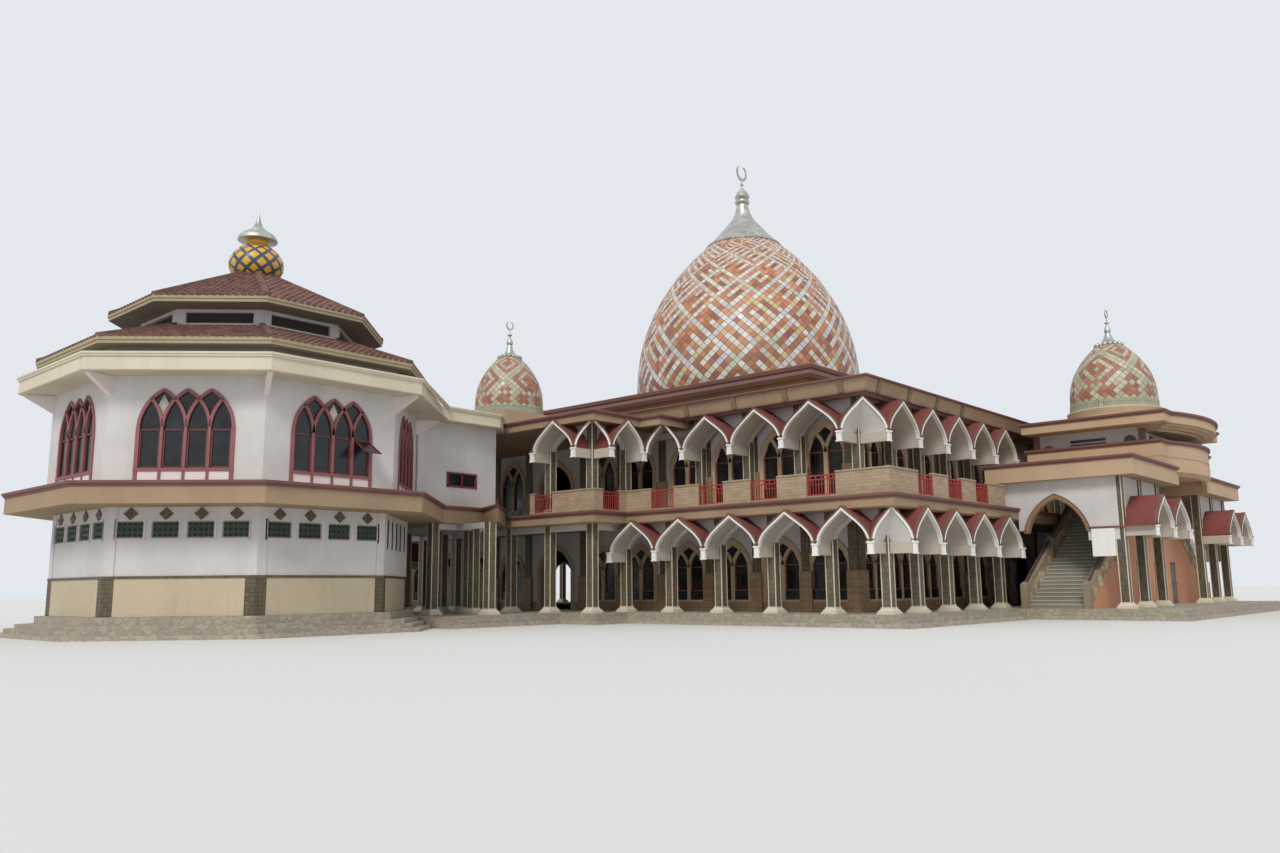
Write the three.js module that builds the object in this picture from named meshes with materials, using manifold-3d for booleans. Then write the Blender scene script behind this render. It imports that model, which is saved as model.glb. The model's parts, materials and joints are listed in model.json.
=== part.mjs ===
// Domed two-storey prayer hall with an octagonal pavilion and an entrance block, as a 1:2 scale model.
// Plan: +X is the entrance side, -Y the pavilion side, +Z up, and the hall's centre is the origin.
// Every length below is the real building's, in metres; the meshes are in model millimetres.
import * as THREE from 'three';
import { mergeVertices } from 'three/addons/utils/BufferGeometryUtils.js';
import Module from 'manifold-3d';

const wasm = await Module();
wasm.setup();

const SCALE = 1 / 2;
const MODEL_MM = 1000 * SCALE;
// Running gap between pieces that touch, 0.3 mm on the model.
const GAP = 0.3 / MODEL_MM;
// Edges shorter than this between level faces are merged.
const WELD = 1e-4;
// Arcs on the pointed arches, per side.
const ARC_STEPS = 2;
// How far the sides of a pointed arch swell out from their chords, in radians: canopies are nearly straight.
const ARCH_SWELL = 0.52;
const CANOPY_SWELL = 0.26;

// Levels, with the ground at 0 and the hall's ground floor on top of the plinth.
const FLOOR = 0.45;
const PAVILION_FLOOR = FLOOR + 0.27;
const LEDGE_BOTTOM = FLOOR + 3.94;
const LEDGE_TOP = FLOOR + 4.44;
const EAVE_BOTTOM = FLOOR + 8.86;
const EAVE_TOP = FLOOR + 9.46;
const ARM_EAVE_BOTTOM = FLOOR + 8.4;
const ARM_EAVE_TOP = FLOOR + 8.85;
const ATTIC_BOTTOM = EAVE_TOP;
const ATTIC_TOP = FLOOR + 11.5;
const ATTIC_ROOF_TOP = FLOOR + 12.0;

// Hall: bays along a side, and half sizes measured from the centre.
const COLUMN_LINE = 20.67;
const GROUND_STATIONS = [7.5, 10.2, 12.9, 15.6, 18.3];
const GROUND_FRONT = 21.85;
const LEDGE_HALF = 21.48;
const WALL_LINE = 17.95;
const WALL_THICK = 0.25;
const UPPER_LINE = 18.4;
const UPPER_STATIONS = [10.2, 12.9, 15.6];
const ENTRANCE_STATIONS = [4.8, 7.5, ...UPPER_STATIONS];
const UPPER_FRONT = 19.85;
const EAVE_HALF = 19.3;
const ATTIC_HALF = 12.2;
const ATTIC_ROOF_HALF = 12.9;

// Arms in the middle of the sides.
const ARM_HALF = 7.5;
const ARM_STATIONS = [2.1, 4.8, 7.5];
const ARM_LINE = 22.9;
const ARM_FRONT = 24.1;
const ARM_SIDE_FRONT = 8.72;
const ARM_LEDGE = 23.6;
const ARM_LEDGE_HALF = 8.27;
const ARM_EAVE = 23.9;
const ARM_EAVE_HALF = 8.55;
const ARM_STEP = 20.8;
const ARM_STEP_HALF = 9.75;

// Columns, brackets and canopies.
const COLUMN_SIZE = 0.52;
const BASE_HALF = 0.5;
const BASE_TOP_HALF = 0.32;
const BASE_HEIGHT = 0.34;
const BRACKET_HALF = 0.14;
const VALLEY_RISE = 0.12;
const GROUND_BRACKET = [FLOOR + 2.27, FLOOR + 2.75];
const GROUND_APEX = FLOOR + 3.77;
const UPPER_BRACKET = [FLOOR + 6.8, FLOOR + 7.2];
const UPPER_APEX = FLOOR + 8.5;
const ARM_APEX = FLOOR + 8.22;
const SHELL = 0.16;
const INNER_CANOPY_DEPTH = 1.0;
const SPANDREL = 0.2;
// Beams between column heads, and the narrower tie beams at an arm's inner corners.
const BEAM_HEIGHT = 0.3;
const BEAM_HALF = 0.15;
const TIE_HALF = 0.1;

// Parapet on the ledge: solid panels with open railing bays between them.
const PARAPET_HEIGHT = 1.0;
const PARAPET_LINE = 21.25;
const PARAPET_THICK = 0.12;
const PARAPET_INSET = 0.23;
// Rails left below and above an open bay, a bay's half width, and the parapet's start beside the entrance.
const RAILS = { low: 0.12, high: 0.1 };
const BAY_HALF = 0.65;
const ENTRANCE_START = 10.4;
// Open bays along an arm's side, along its front, and along the front beside the link.
const SIDE_BAYS = [[0.6, 1.7]];
const FRONT_BAYS = [[1.45, 2.75], [4.15, 5.45]];
const LINK_BAYS = [[0.3, 1.5]];
const LINK_START = 3.9;

// Pavilion: an octagon with flat faces to the north, south, east and west; widths are to the flats.
const PAVILION_Y = -35.35;
const EIGHTH = Math.PI / 8;
const PAVILION_WALL = 6.1;
const PAVILION_UPPER_WALL = 6.4;
const PAVILION_LEDGE = [FLOOR + 3.97, FLOOR + 4.72];
const PAVILION_EAVE = [FLOOR + 8.49, FLOOR + 9.09];
// The pavilion's faces counted from the east; the north one has the door, the one beside it has slits.
const DOOR_FACE = 2;
const SLIT_FACE = 1;
// Vents and slits: places along the face, half widths, and heights from low to high.
const VENT_PLACES = [-1.77, -0.59, 0.59, 1.77];
const VENT = { half: 0.42, z: [FLOOR + 2.95, FLOOR + 3.45] };
const SLIT = { half: 0.07, z: [FLOOR + 2.65, FLOOR + 3.75] };
const PAVILION_DOOR = { half: 0.9, ground: FLOOR + 2.7, upper: 2.2 };
// The tall windows: three interlaced arches over four lights, with heights above the floor.
const LIGHT = 0.8;
const TALL_WINDOW = { sill: 0.45, spring: 1.97, peak: 3.28 };
// Levels of the tile roofs' two tiers, from curb to top.
const LOWER_TIER = [FLOOR + 9.09, FLOOR + 9.5, FLOOR + 9.75, FLOOR + 10.95];
const UPPER_TIER = [FLOOR + 11.6, FLOOR + 11.85, FLOOR + 14.0];

// Clear widths to the flats inside the slabs, shells and clerestory, and the clerestory's lights.
const PAVILION_SLAB = { out: 7.6, room: 5.6, thick: 0.3 };
const PAVILION_EAVE_SLAB = { out: 7.48, room: 5.9, well: 5.2 };
const LOWER_SHELL = { curb: 6.45, edge: 6.98, top: 3.9, inCurb: 6.2, inTop: 3.55 };
const UPPER_SHELL = { edge: 4.87, top: 0.75, inBoard: 3.55, inEdge: 4.4, inTop: 0.5, thick: 0.15 };
const CLERESTORY = { out: 3.85, thick: 0.25, lightHalf: 1.25, rail: 0.12 };

// Link between hall and pavilion.
const LINK_HALF = 3.2;
const LINK_WALL_HALF = 2.75;
const LINK_EAVE_HALF = 3.5;
const LINK_END = -23.9 - GAP;

// Domes: the main one on its drum, the east one on the entrance roof, and one on each arm.
const DRUM_R = 7.0;
const DRUM_HALF = 0.3;
const DOME_BASE = FLOOR + 13.2;
const MAIN_DOME = { foot: 7.2, widest: { r: 7.5, z: FLOOR + 14.0 }, top: { r: 2.1, z: FLOOR + 24.6 } };
const DOME_SWELL = 2.2;
const DOME_SHOULDER = 0.93;
const EAST_DOME_X = 23.24;
const EAST_DOME_BASE = FLOOR + 9.45;
const DOME_THICK = 0.25;
const SMALL_DOME_THICK = 0.18;
// Radii and tops of the small domes, the step at their foot, and the height of their widest ring.
const ARM_DOME = { r: 1.74, top: FLOOR + 12.97 };
const EAST_DOME = { r: 2.1, top: FLOOR + 13.45 };
const SMALL_DOME_FOOT = 0.02;
const SMALL_DOME_WIDEST = 0.75;
const SMALL_DOME_RIM = 0.15;
// Finials, as radii and heights above their foot.
const MAIN_FINIAL = [
  [0, 0], [2.1, 0], [2.1, 0.1], [1.48, 0.93], [1.0, 1.43], [0.68, 1.95], [0.42, 2.7], [0.5, 2.95], [0.52, 3.35],
  [0.42, 3.7], [0.2, 4.0], [0.07, 4.2], [0.07, 4.7], [0.12, 4.8], [0.12, 5.1], [0, 5.2],
];
const PAVILION_FINIAL = [
  [0, 0], [0.75, 0], [1.0, 0.3], [1.1, 0.62], [0.98, 0.98], [0.62, 1.3], [0.42, 1.42], [0.42, 1.56], [0.79, 1.66],
  [0.79, 1.74], [0.42, 1.98], [0.24, 2.2], [0.06, 2.5], [0.03, 2.9], [0, 2.9],
];
const SMALL_FINIAL = [
  [0.14, 0.6], [0.17, 0.75], [0.05, 1.1], [0.12, 1.18], [0.12, 1.24], [0.05, 1.3], [0.05, 1.6], [0.12, 1.7],
  [0.12, 1.9], [0, 2.0],
];
const SMALL_CAP = { r: 0.295, rim: 0.12 };

const colours = {
  plaster: 0xe9e3e2, stucco: 0xcbb492, tile: 0x8d8466, roof: 0x7c3f3c, plinth: 0x9b8e80,
  sand: 0xbfae8c, dome: 0xb98d6b, metal: 0xb9bdbb, salmon: 0xc98f6d, door: 0x6d2320,
  doorGrey: 0x5d5a55, dark: 0x6c4a41, cream: 0xd9c9a2, stair: 0xa9a08d, yellow: 0xd0a13a,
};

// Solids

function solid(geometry) {
  const bare = geometry.clone();
  bare.deleteAttribute('normal');
  bare.deleteAttribute('uv');
  const merged = mergeVertices(bare, 1e-5);
  const index = merged.index.array;
  const position = merged.attributes.position.array;
  return new wasm.Manifold(new wasm.Mesh({
    numProp: 3, vertProperties: Float32Array.from(position), triVerts: Uint32Array.from(index),
  }));
}

function join(list) {
  return list.reduce((whole, piece) => whole.add(piece));
}

function box(x0, x1, y0, y1, z0, z1) {
  const geometry = new THREE.BoxGeometry(x1 - x0, y1 - y0, z1 - z0);
  geometry.translate((x0 + x1) / 2, (y0 + y1) / 2, (z0 + z1) / 2);
  return solid(geometry);
}

// A horizontal outline raised from z0 to z1.
function slab(points, z0, z1) {
  const shape = new THREE.Shape(points.map(([x, y]) => new THREE.Vector2(x, y)));
  const geometry = new THREE.ExtrudeGeometry(shape, { depth: z1 - z0, bevelEnabled: false });
  geometry.translate(0, 0, z0);
  return solid(geometry);
}

// A square frustum on its base centre.
function frustum(x, y, z0, z1, halfBottom, halfTop) {
  const root2 = Math.SQRT2;
  const geometry = new THREE.CylinderGeometry(halfTop * root2, halfBottom * root2, z1 - z0, 4);
  geometry.rotateY(Math.PI / 4);
  geometry.rotateX(Math.PI / 2);
  geometry.translate(x, y, (z0 + z1) / 2);
  return solid(geometry);
}

// An upright outline [along, height], drawn from plan point a towards b, made `thick` deep to the left.
function upright(outline, a, b, thick, inset = 0) {
  const shape = new THREE.Shape(outline.map(([u, z]) => new THREE.Vector2(u, z)));
  const geometry = new THREE.ExtrudeGeometry(shape, { depth: thick, bevelEnabled: false });
  const along = new THREE.Vector3(b[0] - a[0], b[1] - a[1], 0).normalize();
  const up = new THREE.Vector3(0, 0, 1);
  const inward = new THREE.Vector3().crossVectors(up, along);
  const outward = inward.clone().negate();
  const start = new THREE.Vector3(a[0], a[1], 0).addScaledVector(inward, inset + thick);
  geometry.applyMatrix4(new THREE.Matrix4().makeBasis(along, up, outward).setPosition(start));
  return solid(geometry);
}

// A pointed arch from (u0, spring) up to its apex and down to (u1, spring), its two sides arcs over their chords.
function pointedArc(u0, u1, spring, apex, swell = ARCH_SWELL, steps = ARC_STEPS) {
  const half = (u1 - u0) / 2;
  const rise = apex - spring;
  const lean = Math.atan2(rise, half);
  const turn = Math.min(swell, Math.PI / 2 - lean);
  const radius = Math.hypot(half, rise) / (2 * Math.sin(turn));
  const start = lean + turn;
  const left = [];
  for (let i = 0; i <= steps; i += 1) {
    const angle = start - (2 * turn * i) / steps;
    left.push([
      radius * (Math.sin(start) - Math.sin(angle)),
      spring + radius * (Math.cos(angle) - Math.cos(start)),
    ]);
  }
  const right = left.slice(0, -1).reverse();
  return [...left.map(([u, z]) => [u0 + u, z]), ...right.map(([u, z]) => [u1 - u, z])];
}

// An upright wall with openings cut through it.
function pierced(outline, a, b, thick, holes) {
  const wall = upright(outline, a, b, thick);
  return holes.reduce((left, hole) => left.subtract(upright(hole, a, b, 3 * thick, -thick)), wall);
}

function pointedOpening(u0, u1, sill, spring, apex) {
  return [[u0, sill], ...pointedArc(u0, u1, spring, apex), [u1, sill]];
}

function plan(a, b) {
  return Math.hypot(b[0] - a[0], b[1] - a[1]);
}

// A single pointed barrel canopy whose front edge runs from a to b, `depth` deep inwards.
function canopy(a, b, depth, level) {
  const width = plan(a, b);
  const outer = pointedArc(0, width, level.spring, level.apex + SHELL, CANOPY_SWELL);
  const inner = pointedArc(SHELL, width - SHELL, level.spring, level.apex, CANOPY_SWELL).reverse();
  return upright([...outer, ...inner], a, b, depth);
}

// The arches under a run of bays, from the first station to the last, as points [along, height].
function archLine(stations, spring, apex) {
  const points = [];
  for (let i = 0; i + 1 < stations.length; i += 1) {
    const foot = stations[i] + BRACKET_HALF;
    points.push(...pointedArc(foot, stations[i + 1] - BRACKET_HALF, spring, apex, CANOPY_SWELL));
  }
  return points;
}

// A run of joined canopies with the bracket beams under their feet; stations are measured from a towards b.
function canopyRun(a, b, stations, depth, level) {
  const [low, spring] = level.bracket;
  const valley = spring + VALLEY_RISE;
  const under = [];
  for (let i = 0; i < stations.length; i += 1) {
    const u = stations[i];
    under.push([u - BRACKET_HALF, low], [u + BRACKET_HALF, low]);
    if (i + 1 < stations.length) {
      under.push(...archLine([u, stations[i + 1]], spring, level.apex));
    }
  }
  const over = [];
  for (let i = stations.length - 1; i > 0; i -= 1) {
    const arc = pointedArc(stations[i - 1], stations[i], valley, level.apex + SHELL, CANOPY_SWELL).reverse();
    over.push(...(i === stations.length - 1 ? arc : arc.slice(1)));
  }
  const last = stations[stations.length - 1] + BRACKET_HALF;
  const first = stations[0] - BRACKET_HALF;
  return upright([...under, [last, spring], ...over, [first, spring]], a, b, depth);
}

// The wall over a run of bays with the pointed arches under it, centred on the line from a to b.
function spandrelRun(a, b, stations, level, top) {
  const spring = level.bracket[1];
  const u0 = stations[0];
  const u1 = stations[stations.length - 1];
  const outline = [[u0, spring], ...archLine(stations, spring, level.apex), [u1, spring], [u1, top], [u0, top]];
  return upright(outline, a, b, SPANDREL, -SPANDREL / 2);
}

// A square column, with a flared base where it has one.
function column(x, y, z0, z1, base = true) {
  const half = COLUMN_SIZE / 2;
  const foot = base ? [[BASE_HALF, z0], [BASE_TOP_HALF, z0 + BASE_HEIGHT], [half, z0 + BASE_HEIGHT]] : [[half, z0]];
  const profile = [[0, z0], ...foot, [half, z1], [0, z1]];
  const square = profile.map(([r, z]) => new THREE.Vector2(r * Math.SQRT2, z));
  const geometry = new THREE.LatheGeometry(square, 4, Math.PI / 4);
  geometry.rotateX(Math.PI / 2);
  geometry.translate(x, y, 0);
  return solid(geometry);
}

const groundLevel = { bracket: GROUND_BRACKET, spring: GROUND_BRACKET[1], apex: GROUND_APEX };
const upperLevel = { bracket: UPPER_BRACKET, spring: UPPER_BRACKET[1], apex: UPPER_APEX };
const armLevel = { bracket: UPPER_BRACKET, spring: UPPER_BRACKET[1], apex: ARM_APEX };

// Mirrors for the four corners of the hall; a corner is drawn for +X, -Y.
function mirrored(manifold, flipX, flipY) {
  const geometry = toGeometry(manifold);
  geometry.scale(flipX ? -1 : 1, flipY ? -1 : 1, 1);
  if (flipX !== flipY) {
    const index = geometry.index.array;
    for (let i = 0; i < index.length; i += 3) {
      [index[i], index[i + 1]] = [index[i + 1], index[i]];
    }
  }
  return solid(geometry);
}

// Mirror about the corner's diagonal: south side to east side.
function acrossDiagonal(manifold) {
  const geometry = toGeometry(manifold);
  geometry.applyMatrix4(new THREE.Matrix4().set(0, -1, 0, 0, -1, 0, 0, 0, 0, 0, 1, 0, 0, 0, 0, 1));
  const index = geometry.index.array;
  for (let i = 0; i < index.length; i += 3) {
    [index[i], index[i + 1]] = [index[i + 1], index[i]];
  }
  return solid(geometry);
}

function toGeometry(manifold) {
  const mesh = manifold.asOriginal().simplify(WELD).getMesh();
  const geometry = new THREE.BufferGeometry();
  geometry.setAttribute('position', new THREE.BufferAttribute(Float32Array.from(mesh.vertProperties), 3));
  geometry.setIndex(new THREE.BufferAttribute(Uint32Array.from(mesh.triVerts), 1));
  return geometry;
}

// Ground arcade, half a side, drawn for the south side and x > 0.
function groundHalf(withArm) {
  const top = LEDGE_BOTTOM - GAP;
  const bottom = FLOOR + GAP;
  const stations = withArm ? GROUND_STATIONS : GROUND_STATIONS.slice(1);
  const run = [...stations, COLUMN_LINE].map((x) => x - stations[0]);
  const depth = GROUND_FRONT - COLUMN_LINE;
  const start = stations[0];
  const pieces = [
    canopyRun([start, -GROUND_FRONT], [COLUMN_LINE, -GROUND_FRONT], run, depth, groundLevel),
    spandrelRun([start, -COLUMN_LINE], [COLUMN_LINE, -COLUMN_LINE], run, groundLevel, top),
    ...stations.map((x) => column(x, -COLUMN_LINE, bottom, top)),
  ];
  if (withArm) {
    const beam = [top - BEAM_HEIGHT, top];
    pieces.push(...ARM_STATIONS.map((x) => column(x, -ARM_LINE, bottom, top)));
    pieces.push(box(GAP, ARM_HALF + BEAM_HALF, -ARM_LINE - BEAM_HALF, -ARM_LINE + BEAM_HALF, ...beam));
    pieces.push(box(ARM_HALF - BEAM_HALF, ARM_HALF + BEAM_HALF, -ARM_LINE, -COLUMN_LINE, ...beam));
  }
  return join(pieces);
}

function groundCorner(eastHasArm) {
  const c = COLUMN_LINE;
  const f = GROUND_FRONT;
  const corner = [
    column(c, -c, FLOOR + GAP, LEDGE_BOTTOM - GAP),
    canopy([c, -f], [f, -c], (f - c) / Math.SQRT2, groundLevel),
  ];
  return join([groundHalf(true), acrossDiagonal(groundHalf(eastHasArm)), ...corner]);
}

// Upper arcade, half a side with its arm, drawn for the south side and x > 0.
function upperHalf(armKind) {
  const top = ARM_EAVE_BOTTOM - GAP;
  const wallTop = EAVE_BOTTOM - GAP;
  const bottom = LEDGE_TOP + GAP;
  const places = armKind === 'entrance' ? ENTRANCE_STATIONS : UPPER_STATIONS;
  const first = places[0];
  const run = [...places, UPPER_LINE].map((x) => x - first);
  const pieces = [
    canopyRun([first, -UPPER_FRONT], [UPPER_LINE, -UPPER_FRONT], run, UPPER_FRONT - UPPER_LINE, upperLevel),
    spandrelRun([first, -UPPER_LINE], [UPPER_LINE, -UPPER_LINE], run, upperLevel, wallTop),
    ...places.map((x) => column(x, -UPPER_LINE, bottom, wallTop, false)),
  ];
  if (armKind === 'entrance') {
    return join(pieces);
  }
  // The arm's own columns stand on the ledge, with canopies on its side, its corner and its front.
  const side = ARM_SIDE_FRONT;
  const inner = COLUMN_LINE;
  const reach = ARM_FRONT - ARM_LINE;
  const sideRun = [0, ARM_LINE - inner];
  pieces.push(column(ARM_HALF, -inner, bottom, top, false));
  pieces.push(canopyRun([side, -ARM_LINE], [side, -inner], sideRun, side - ARM_HALF, armLevel));
  pieces.push(spandrelRun([ARM_HALF, -ARM_LINE], [ARM_HALF, -inner], sideRun, armLevel, top));
  pieces.push(canopy([ARM_HALF, -ARM_FRONT], [side, -ARM_LINE], reach / Math.SQRT2, armLevel));
  // The short canopy in the inner angle between arm and hall.
  pieces.push(canopy([side, -inner], [first, -UPPER_FRONT], INNER_CANOPY_DEPTH, armLevel));
  const tie = [top - BEAM_HEIGHT, top];
  pieces.push(box(ARM_HALF - TIE_HALF, ARM_HALF + TIE_HALF, -inner, -UPPER_LINE, ...tie));
  pieces.push(box(ARM_HALF - TIE_HALF, first, -UPPER_LINE - TIE_HALF, -UPPER_LINE + TIE_HALF, ...tie));
  const stations = armKind === 'link' ? ARM_STATIONS.slice(1) : ARM_STATIONS;
  const start = armKind === 'link' ? stations[0] : -ARM_STATIONS[0];
  const front = (armKind === 'link' ? stations : [start, ...stations]).map((x) => x - start);
  const middleCut = box(-ARM_HALF, GAP / 2, -ARM_FRONT - 1, -ARM_LINE + 1, bottom, wallTop);
  pieces.push(...stations.map((x) => column(x, -ARM_LINE, bottom, top, false)));
  pieces.push(canopyRun([start, -ARM_FRONT], [ARM_HALF, -ARM_FRONT], front, reach, armLevel).subtract(middleCut));
  pieces.push(spandrelRun([start, -ARM_LINE], [ARM_HALF, -ARM_LINE], front, armLevel, top).subtract(middleCut));
  return join(pieces);
}

function upperCorner(southKind, eastKind) {
  const c = UPPER_LINE;
  const f = UPPER_FRONT;
  const corner = [
    column(c, -c, LEDGE_TOP + GAP, EAVE_BOTTOM - GAP, false),
    canopy([c, -f], [f, -c], (f - c) / Math.SQRT2, upperLevel),
  ];
  return join([upperHalf(southKind), acrossDiagonal(upperHalf(eastKind)), ...corner]);
}

// Walls of the hall, drawn along x from -half to half with their outer face on the wall line.
const WINDOW_PLACES = [3.45, 6.0, 9.0, 11.55, 14.25, 16.6];
const WINDOW_HALF = 0.85;
const DOORWAY = { half: 1.2, sill: 0.02, spring: 2.1, apex: 3.2 };

function hallWall(z0, z1, sill, springHeight, rise) {
  const half = WALL_LINE;
  const holes = [];
  for (const x of WINDOW_PLACES) {
    for (const side of [-1, 1]) {
      const centre = half + side * x;
      holes.push(pointedOpening(centre - WINDOW_HALF, centre + WINDOW_HALF, z0 + sill,
        z0 + springHeight, z0 + springHeight + rise));
    }
  }
  holes.push(pointedOpening(half - DOORWAY.half, half + DOORWAY.half, z0 + DOORWAY.sill,
    z0 + DOORWAY.spring, z0 + DOORWAY.apex));
  return pierced([[0, z0], [2 * half, z0], [2 * half, z1], [0, z1]], [-half, -half], [half, -half],
    WALL_THICK, holes);
}

function sideWall(z0, z1, sill, spring, rise) {
  const wall = hallWall(z0, z1, sill, spring, rise);
  const cut = WALL_THICK + GAP;
  const end = WALL_LINE - cut;
  const trimmed = wall.subtract(box(-WALL_LINE - 1, -end, -WALL_LINE - 1, 1, z0 - 1, z1 + 1));
  return trimmed.subtract(box(end, WALL_LINE + 1, -WALL_LINE - 1, 1, z0 - 1, z1 + 1));
}

// Turn about the hall's centre, by quarter turns.
function turned(manifold, quarters) {
  const geometry = toGeometry(manifold);
  geometry.rotateZ((quarters * Math.PI) / 2);
  return solid(geometry);
}

function octagon(apothem, centreY = PAVILION_Y) {
  const radius = apothem / Math.cos(EIGHTH);
  return Array.from({ length: 8 }, (_, i) => {
    const angle = EIGHTH * (2 * i + 1);
    return [radius * Math.cos(angle), centreY + radius * Math.sin(angle)];
  });
}

// An octagonal tapering body between two apothems.
function octagonTaper(apothem0, apothem1, z0, z1) {
  const k = 1 / Math.cos(EIGHTH);
  const geometry = new THREE.CylinderGeometry(apothem1 * k, apothem0 * k, z1 - z0, 8);
  geometry.rotateY(EIGHTH);
  geometry.rotateX(Math.PI / 2);
  geometry.translate(0, PAVILION_Y, (z0 + z1) / 2);
  return solid(geometry);
}

// A cutter through the pavilion's side on a face, from its outline [along, height].
function faceCutter(outline, face, reach = 9, depth = 4.5) {
  const angle = (face * Math.PI) / 4;
  const centre = [reach * Math.cos(angle), PAVILION_Y + reach * Math.sin(angle)];
  const ahead = [centre[0] - Math.sin(angle), centre[1] + Math.cos(angle)];
  return upright(outline, centre, ahead, depth);
}

// A rectangle [along, height] between half widths and two heights, round a place along the face.
function panel(place, half, low, high) {
  return [[place - half, low], [place + half, low], [place + half, high], [place - half, high]];
}

// A profile of radii and heights, set on the level z.
function raised(profile, z) {
  return profile.map(([r, height]) => [r, z + height]);
}

function lathe(profile, x, y, segments) {
  const geometry = new THREE.LatheGeometry(profile.map(([r, z]) => new THREE.Vector2(r, z)), segments);
  geometry.rotateX(Math.PI / 2);
  geometry.translate(x, y, 0);
  return solid(geometry);
}

// A dome's outline: out to its widest, then a long pointed curve to the ring that carries the metal cap.
function domeOutline(base, widest, top, steps, inset = 0) {
  const points = [[base.r - inset, base.z]];
  for (let i = 0; i <= steps; i += 1) {
    const t = i / steps;
    const z = widest.z + (top.z - widest.z) * t;
    const r = top.r + (widest.r - top.r) * (1 - t ** DOME_SWELL) ** DOME_SHOULDER;
    points.push([r - inset, z]);
  }
  return points;
}

function domeShell(base, widest, top, thick, x, y, steps, segments) {
  const outer = domeOutline(base, widest, top, steps);
  const inner = domeOutline(base, widest, { r: top.r, z: top.z - thick }, steps, thick).reverse();
  return lathe([...outer, ...inner, outer[0]], x, y, segments);
}

// Pieces

// The plinth's three steps: level, the hall's half size, and how much wider than the top step it is.
const PLINTH_RISE = 0.15;
const PLINTH_STEPS = [[0.0, 22.35, 0.62], [0.15, 22.0, 0.31], [0.3, 21.65, 0.0]];
const PLINTH_ARM = { line: ARM_LINE + 0.75, half: ARM_HALF + 0.95 };
const PLINTH_ENTRANCE = { x: 28.2, half: 10.7 };
const PLINTH_LINK_HALF = 6.2;
const PLINTH_PAVILION = { step: 7.0, top: 6.45 };

function plinth() {
  const pieces = [];
  for (const [z, half, more] of PLINTH_STEPS) {
    const top = z + PLINTH_RISE;
    const arm = PLINTH_ARM.line + more;
    const armHalf = PLINTH_ARM.half + more;
    const link = PLINTH_LINK_HALF + more;
    const porch = PLINTH_ENTRANCE.half + more / 2;
    pieces.push(box(-half, half, -half, half, z, top));
    pieces.push(box(-armHalf, armHalf, -arm, arm, z, top));
    pieces.push(box(-arm, 0, -armHalf, armHalf, z, top));
    pieces.push(box(0, PLINTH_ENTRANCE.x + more / 2, -porch, porch, z, top));
    pieces.push(box(-link, link, -30, 0, z, top));
    pieces.push(slab(octagon(PLINTH_PAVILION.step + more), z, top));
  }
  pieces.push(slab(octagon(PLINTH_PAVILION.top), FLOOR - PLINTH_RISE, PAVILION_FLOOR));
  return join(pieces);
}

// Floor and roof slabs inside the walls, and how far their coffers stay clear of the walls.
const LANDING_THICK = 0.3;
const SLAB_THICK = 0.25;
const COFFER_INSET = 0.2;
const WELL_INSET = 0.3;

function upperFloor() {
  const z = [LEDGE_BOTTOM, LEDGE_TOP];
  const floor = join([
    box(-LEDGE_HALF, LEDGE_HALF, -LEDGE_HALF, LEDGE_HALF, ...z),
    box(-ARM_LEDGE_HALF, ARM_LEDGE_HALF, -ARM_LEDGE, ARM_LEDGE, ...z),
    box(-ARM_LEDGE, 0, -ARM_LEDGE_HALF, ARM_LEDGE_HALF, ...z),
    box(0, STAIR_X[1], -LANDING_HALF + GAP, LANDING_HALF - GAP, LEDGE_TOP - LANDING_THICK, LEDGE_TOP),
  ]);
  const room = WALL_LINE - WALL_THICK - COFFER_INSET;
  const coffer = box(-room, room, -room, room, LEDGE_BOTTOM - 1, LEDGE_TOP - SLAB_THICK);
  return floor.subtract(coffer);
}

function mainRoof() {
  const z = [EAVE_BOTTOM, EAVE_TOP];
  const arm = [ARM_EAVE_BOTTOM, ARM_EAVE_TOP];
  const roof = join([
    box(-EAVE_HALF, EAVE_HALF, -EAVE_HALF, EAVE_HALF, ...z),
    ...armRoof(arm),
  ]);
  const room = WALL_LINE - WALL_THICK - COFFER_INSET;
  const coffer = box(-room, room, -room, room, EAVE_BOTTOM - 1, EAVE_TOP - SLAB_THICK);
  const well = ATTIC_HALF - WALL_THICK - WELL_INSET;
  return roof.subtract(coffer).subtract(box(-well, well, -well, well, EAVE_BOTTOM - 1, EAVE_TOP + 1));
}

// Roofs over the arms, each with the low curb that carries its small dome.
function armRoof(z) {
  const inside = WALL_LINE + GAP;
  const south = join([
    box(-ARM_EAVE_HALF, ARM_EAVE_HALF, -ARM_EAVE, -inside, ...z),
    box(-ARM_STEP_HALF, ARM_STEP_HALF, -ARM_STEP, -inside, ...z),
    frustum(0, -SMALL_DOME_Y, z[1] - LAP, SMALL_DOME_BASE - GAP, ...SMALL_DOME_CURB),
    box(-RIDGE.half, RIDGE.half, -SMALL_DOME_Y, -inside, z[1] - LAP, z[1] + RIDGE.height),
  ]);
  return [south, turned(south, 2), turned(south, 3)];
}

const SMALL_DOME_Y = 21.32;
const SMALL_DOME_BASE = FLOOR + 9.75;
// Half sizes of the square curb at its foot and top, and the flat ridge behind it.
const SMALL_DOME_CURB = [2.5, 2.1];
const RIDGE = { half: 2.6, height: 0.4 };
// How far pieces of one body run into each other.
const LAP = 0.02;

// Entrance block

const STAIR_X = [21.95, 24.35];
const STAIR_STEPS = 26;
const STAIR_RUN = 0.285;
const LANDING_HALF = 2.9;
const STAIR_RISE = (LEDGE_TOP - FLOOR) / STAIR_STEPS;
const STAIR_FOOT = LANDING_HALF + STAIR_STEPS * STAIR_RUN;
const STAIR_WALL = 0.25;
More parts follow.
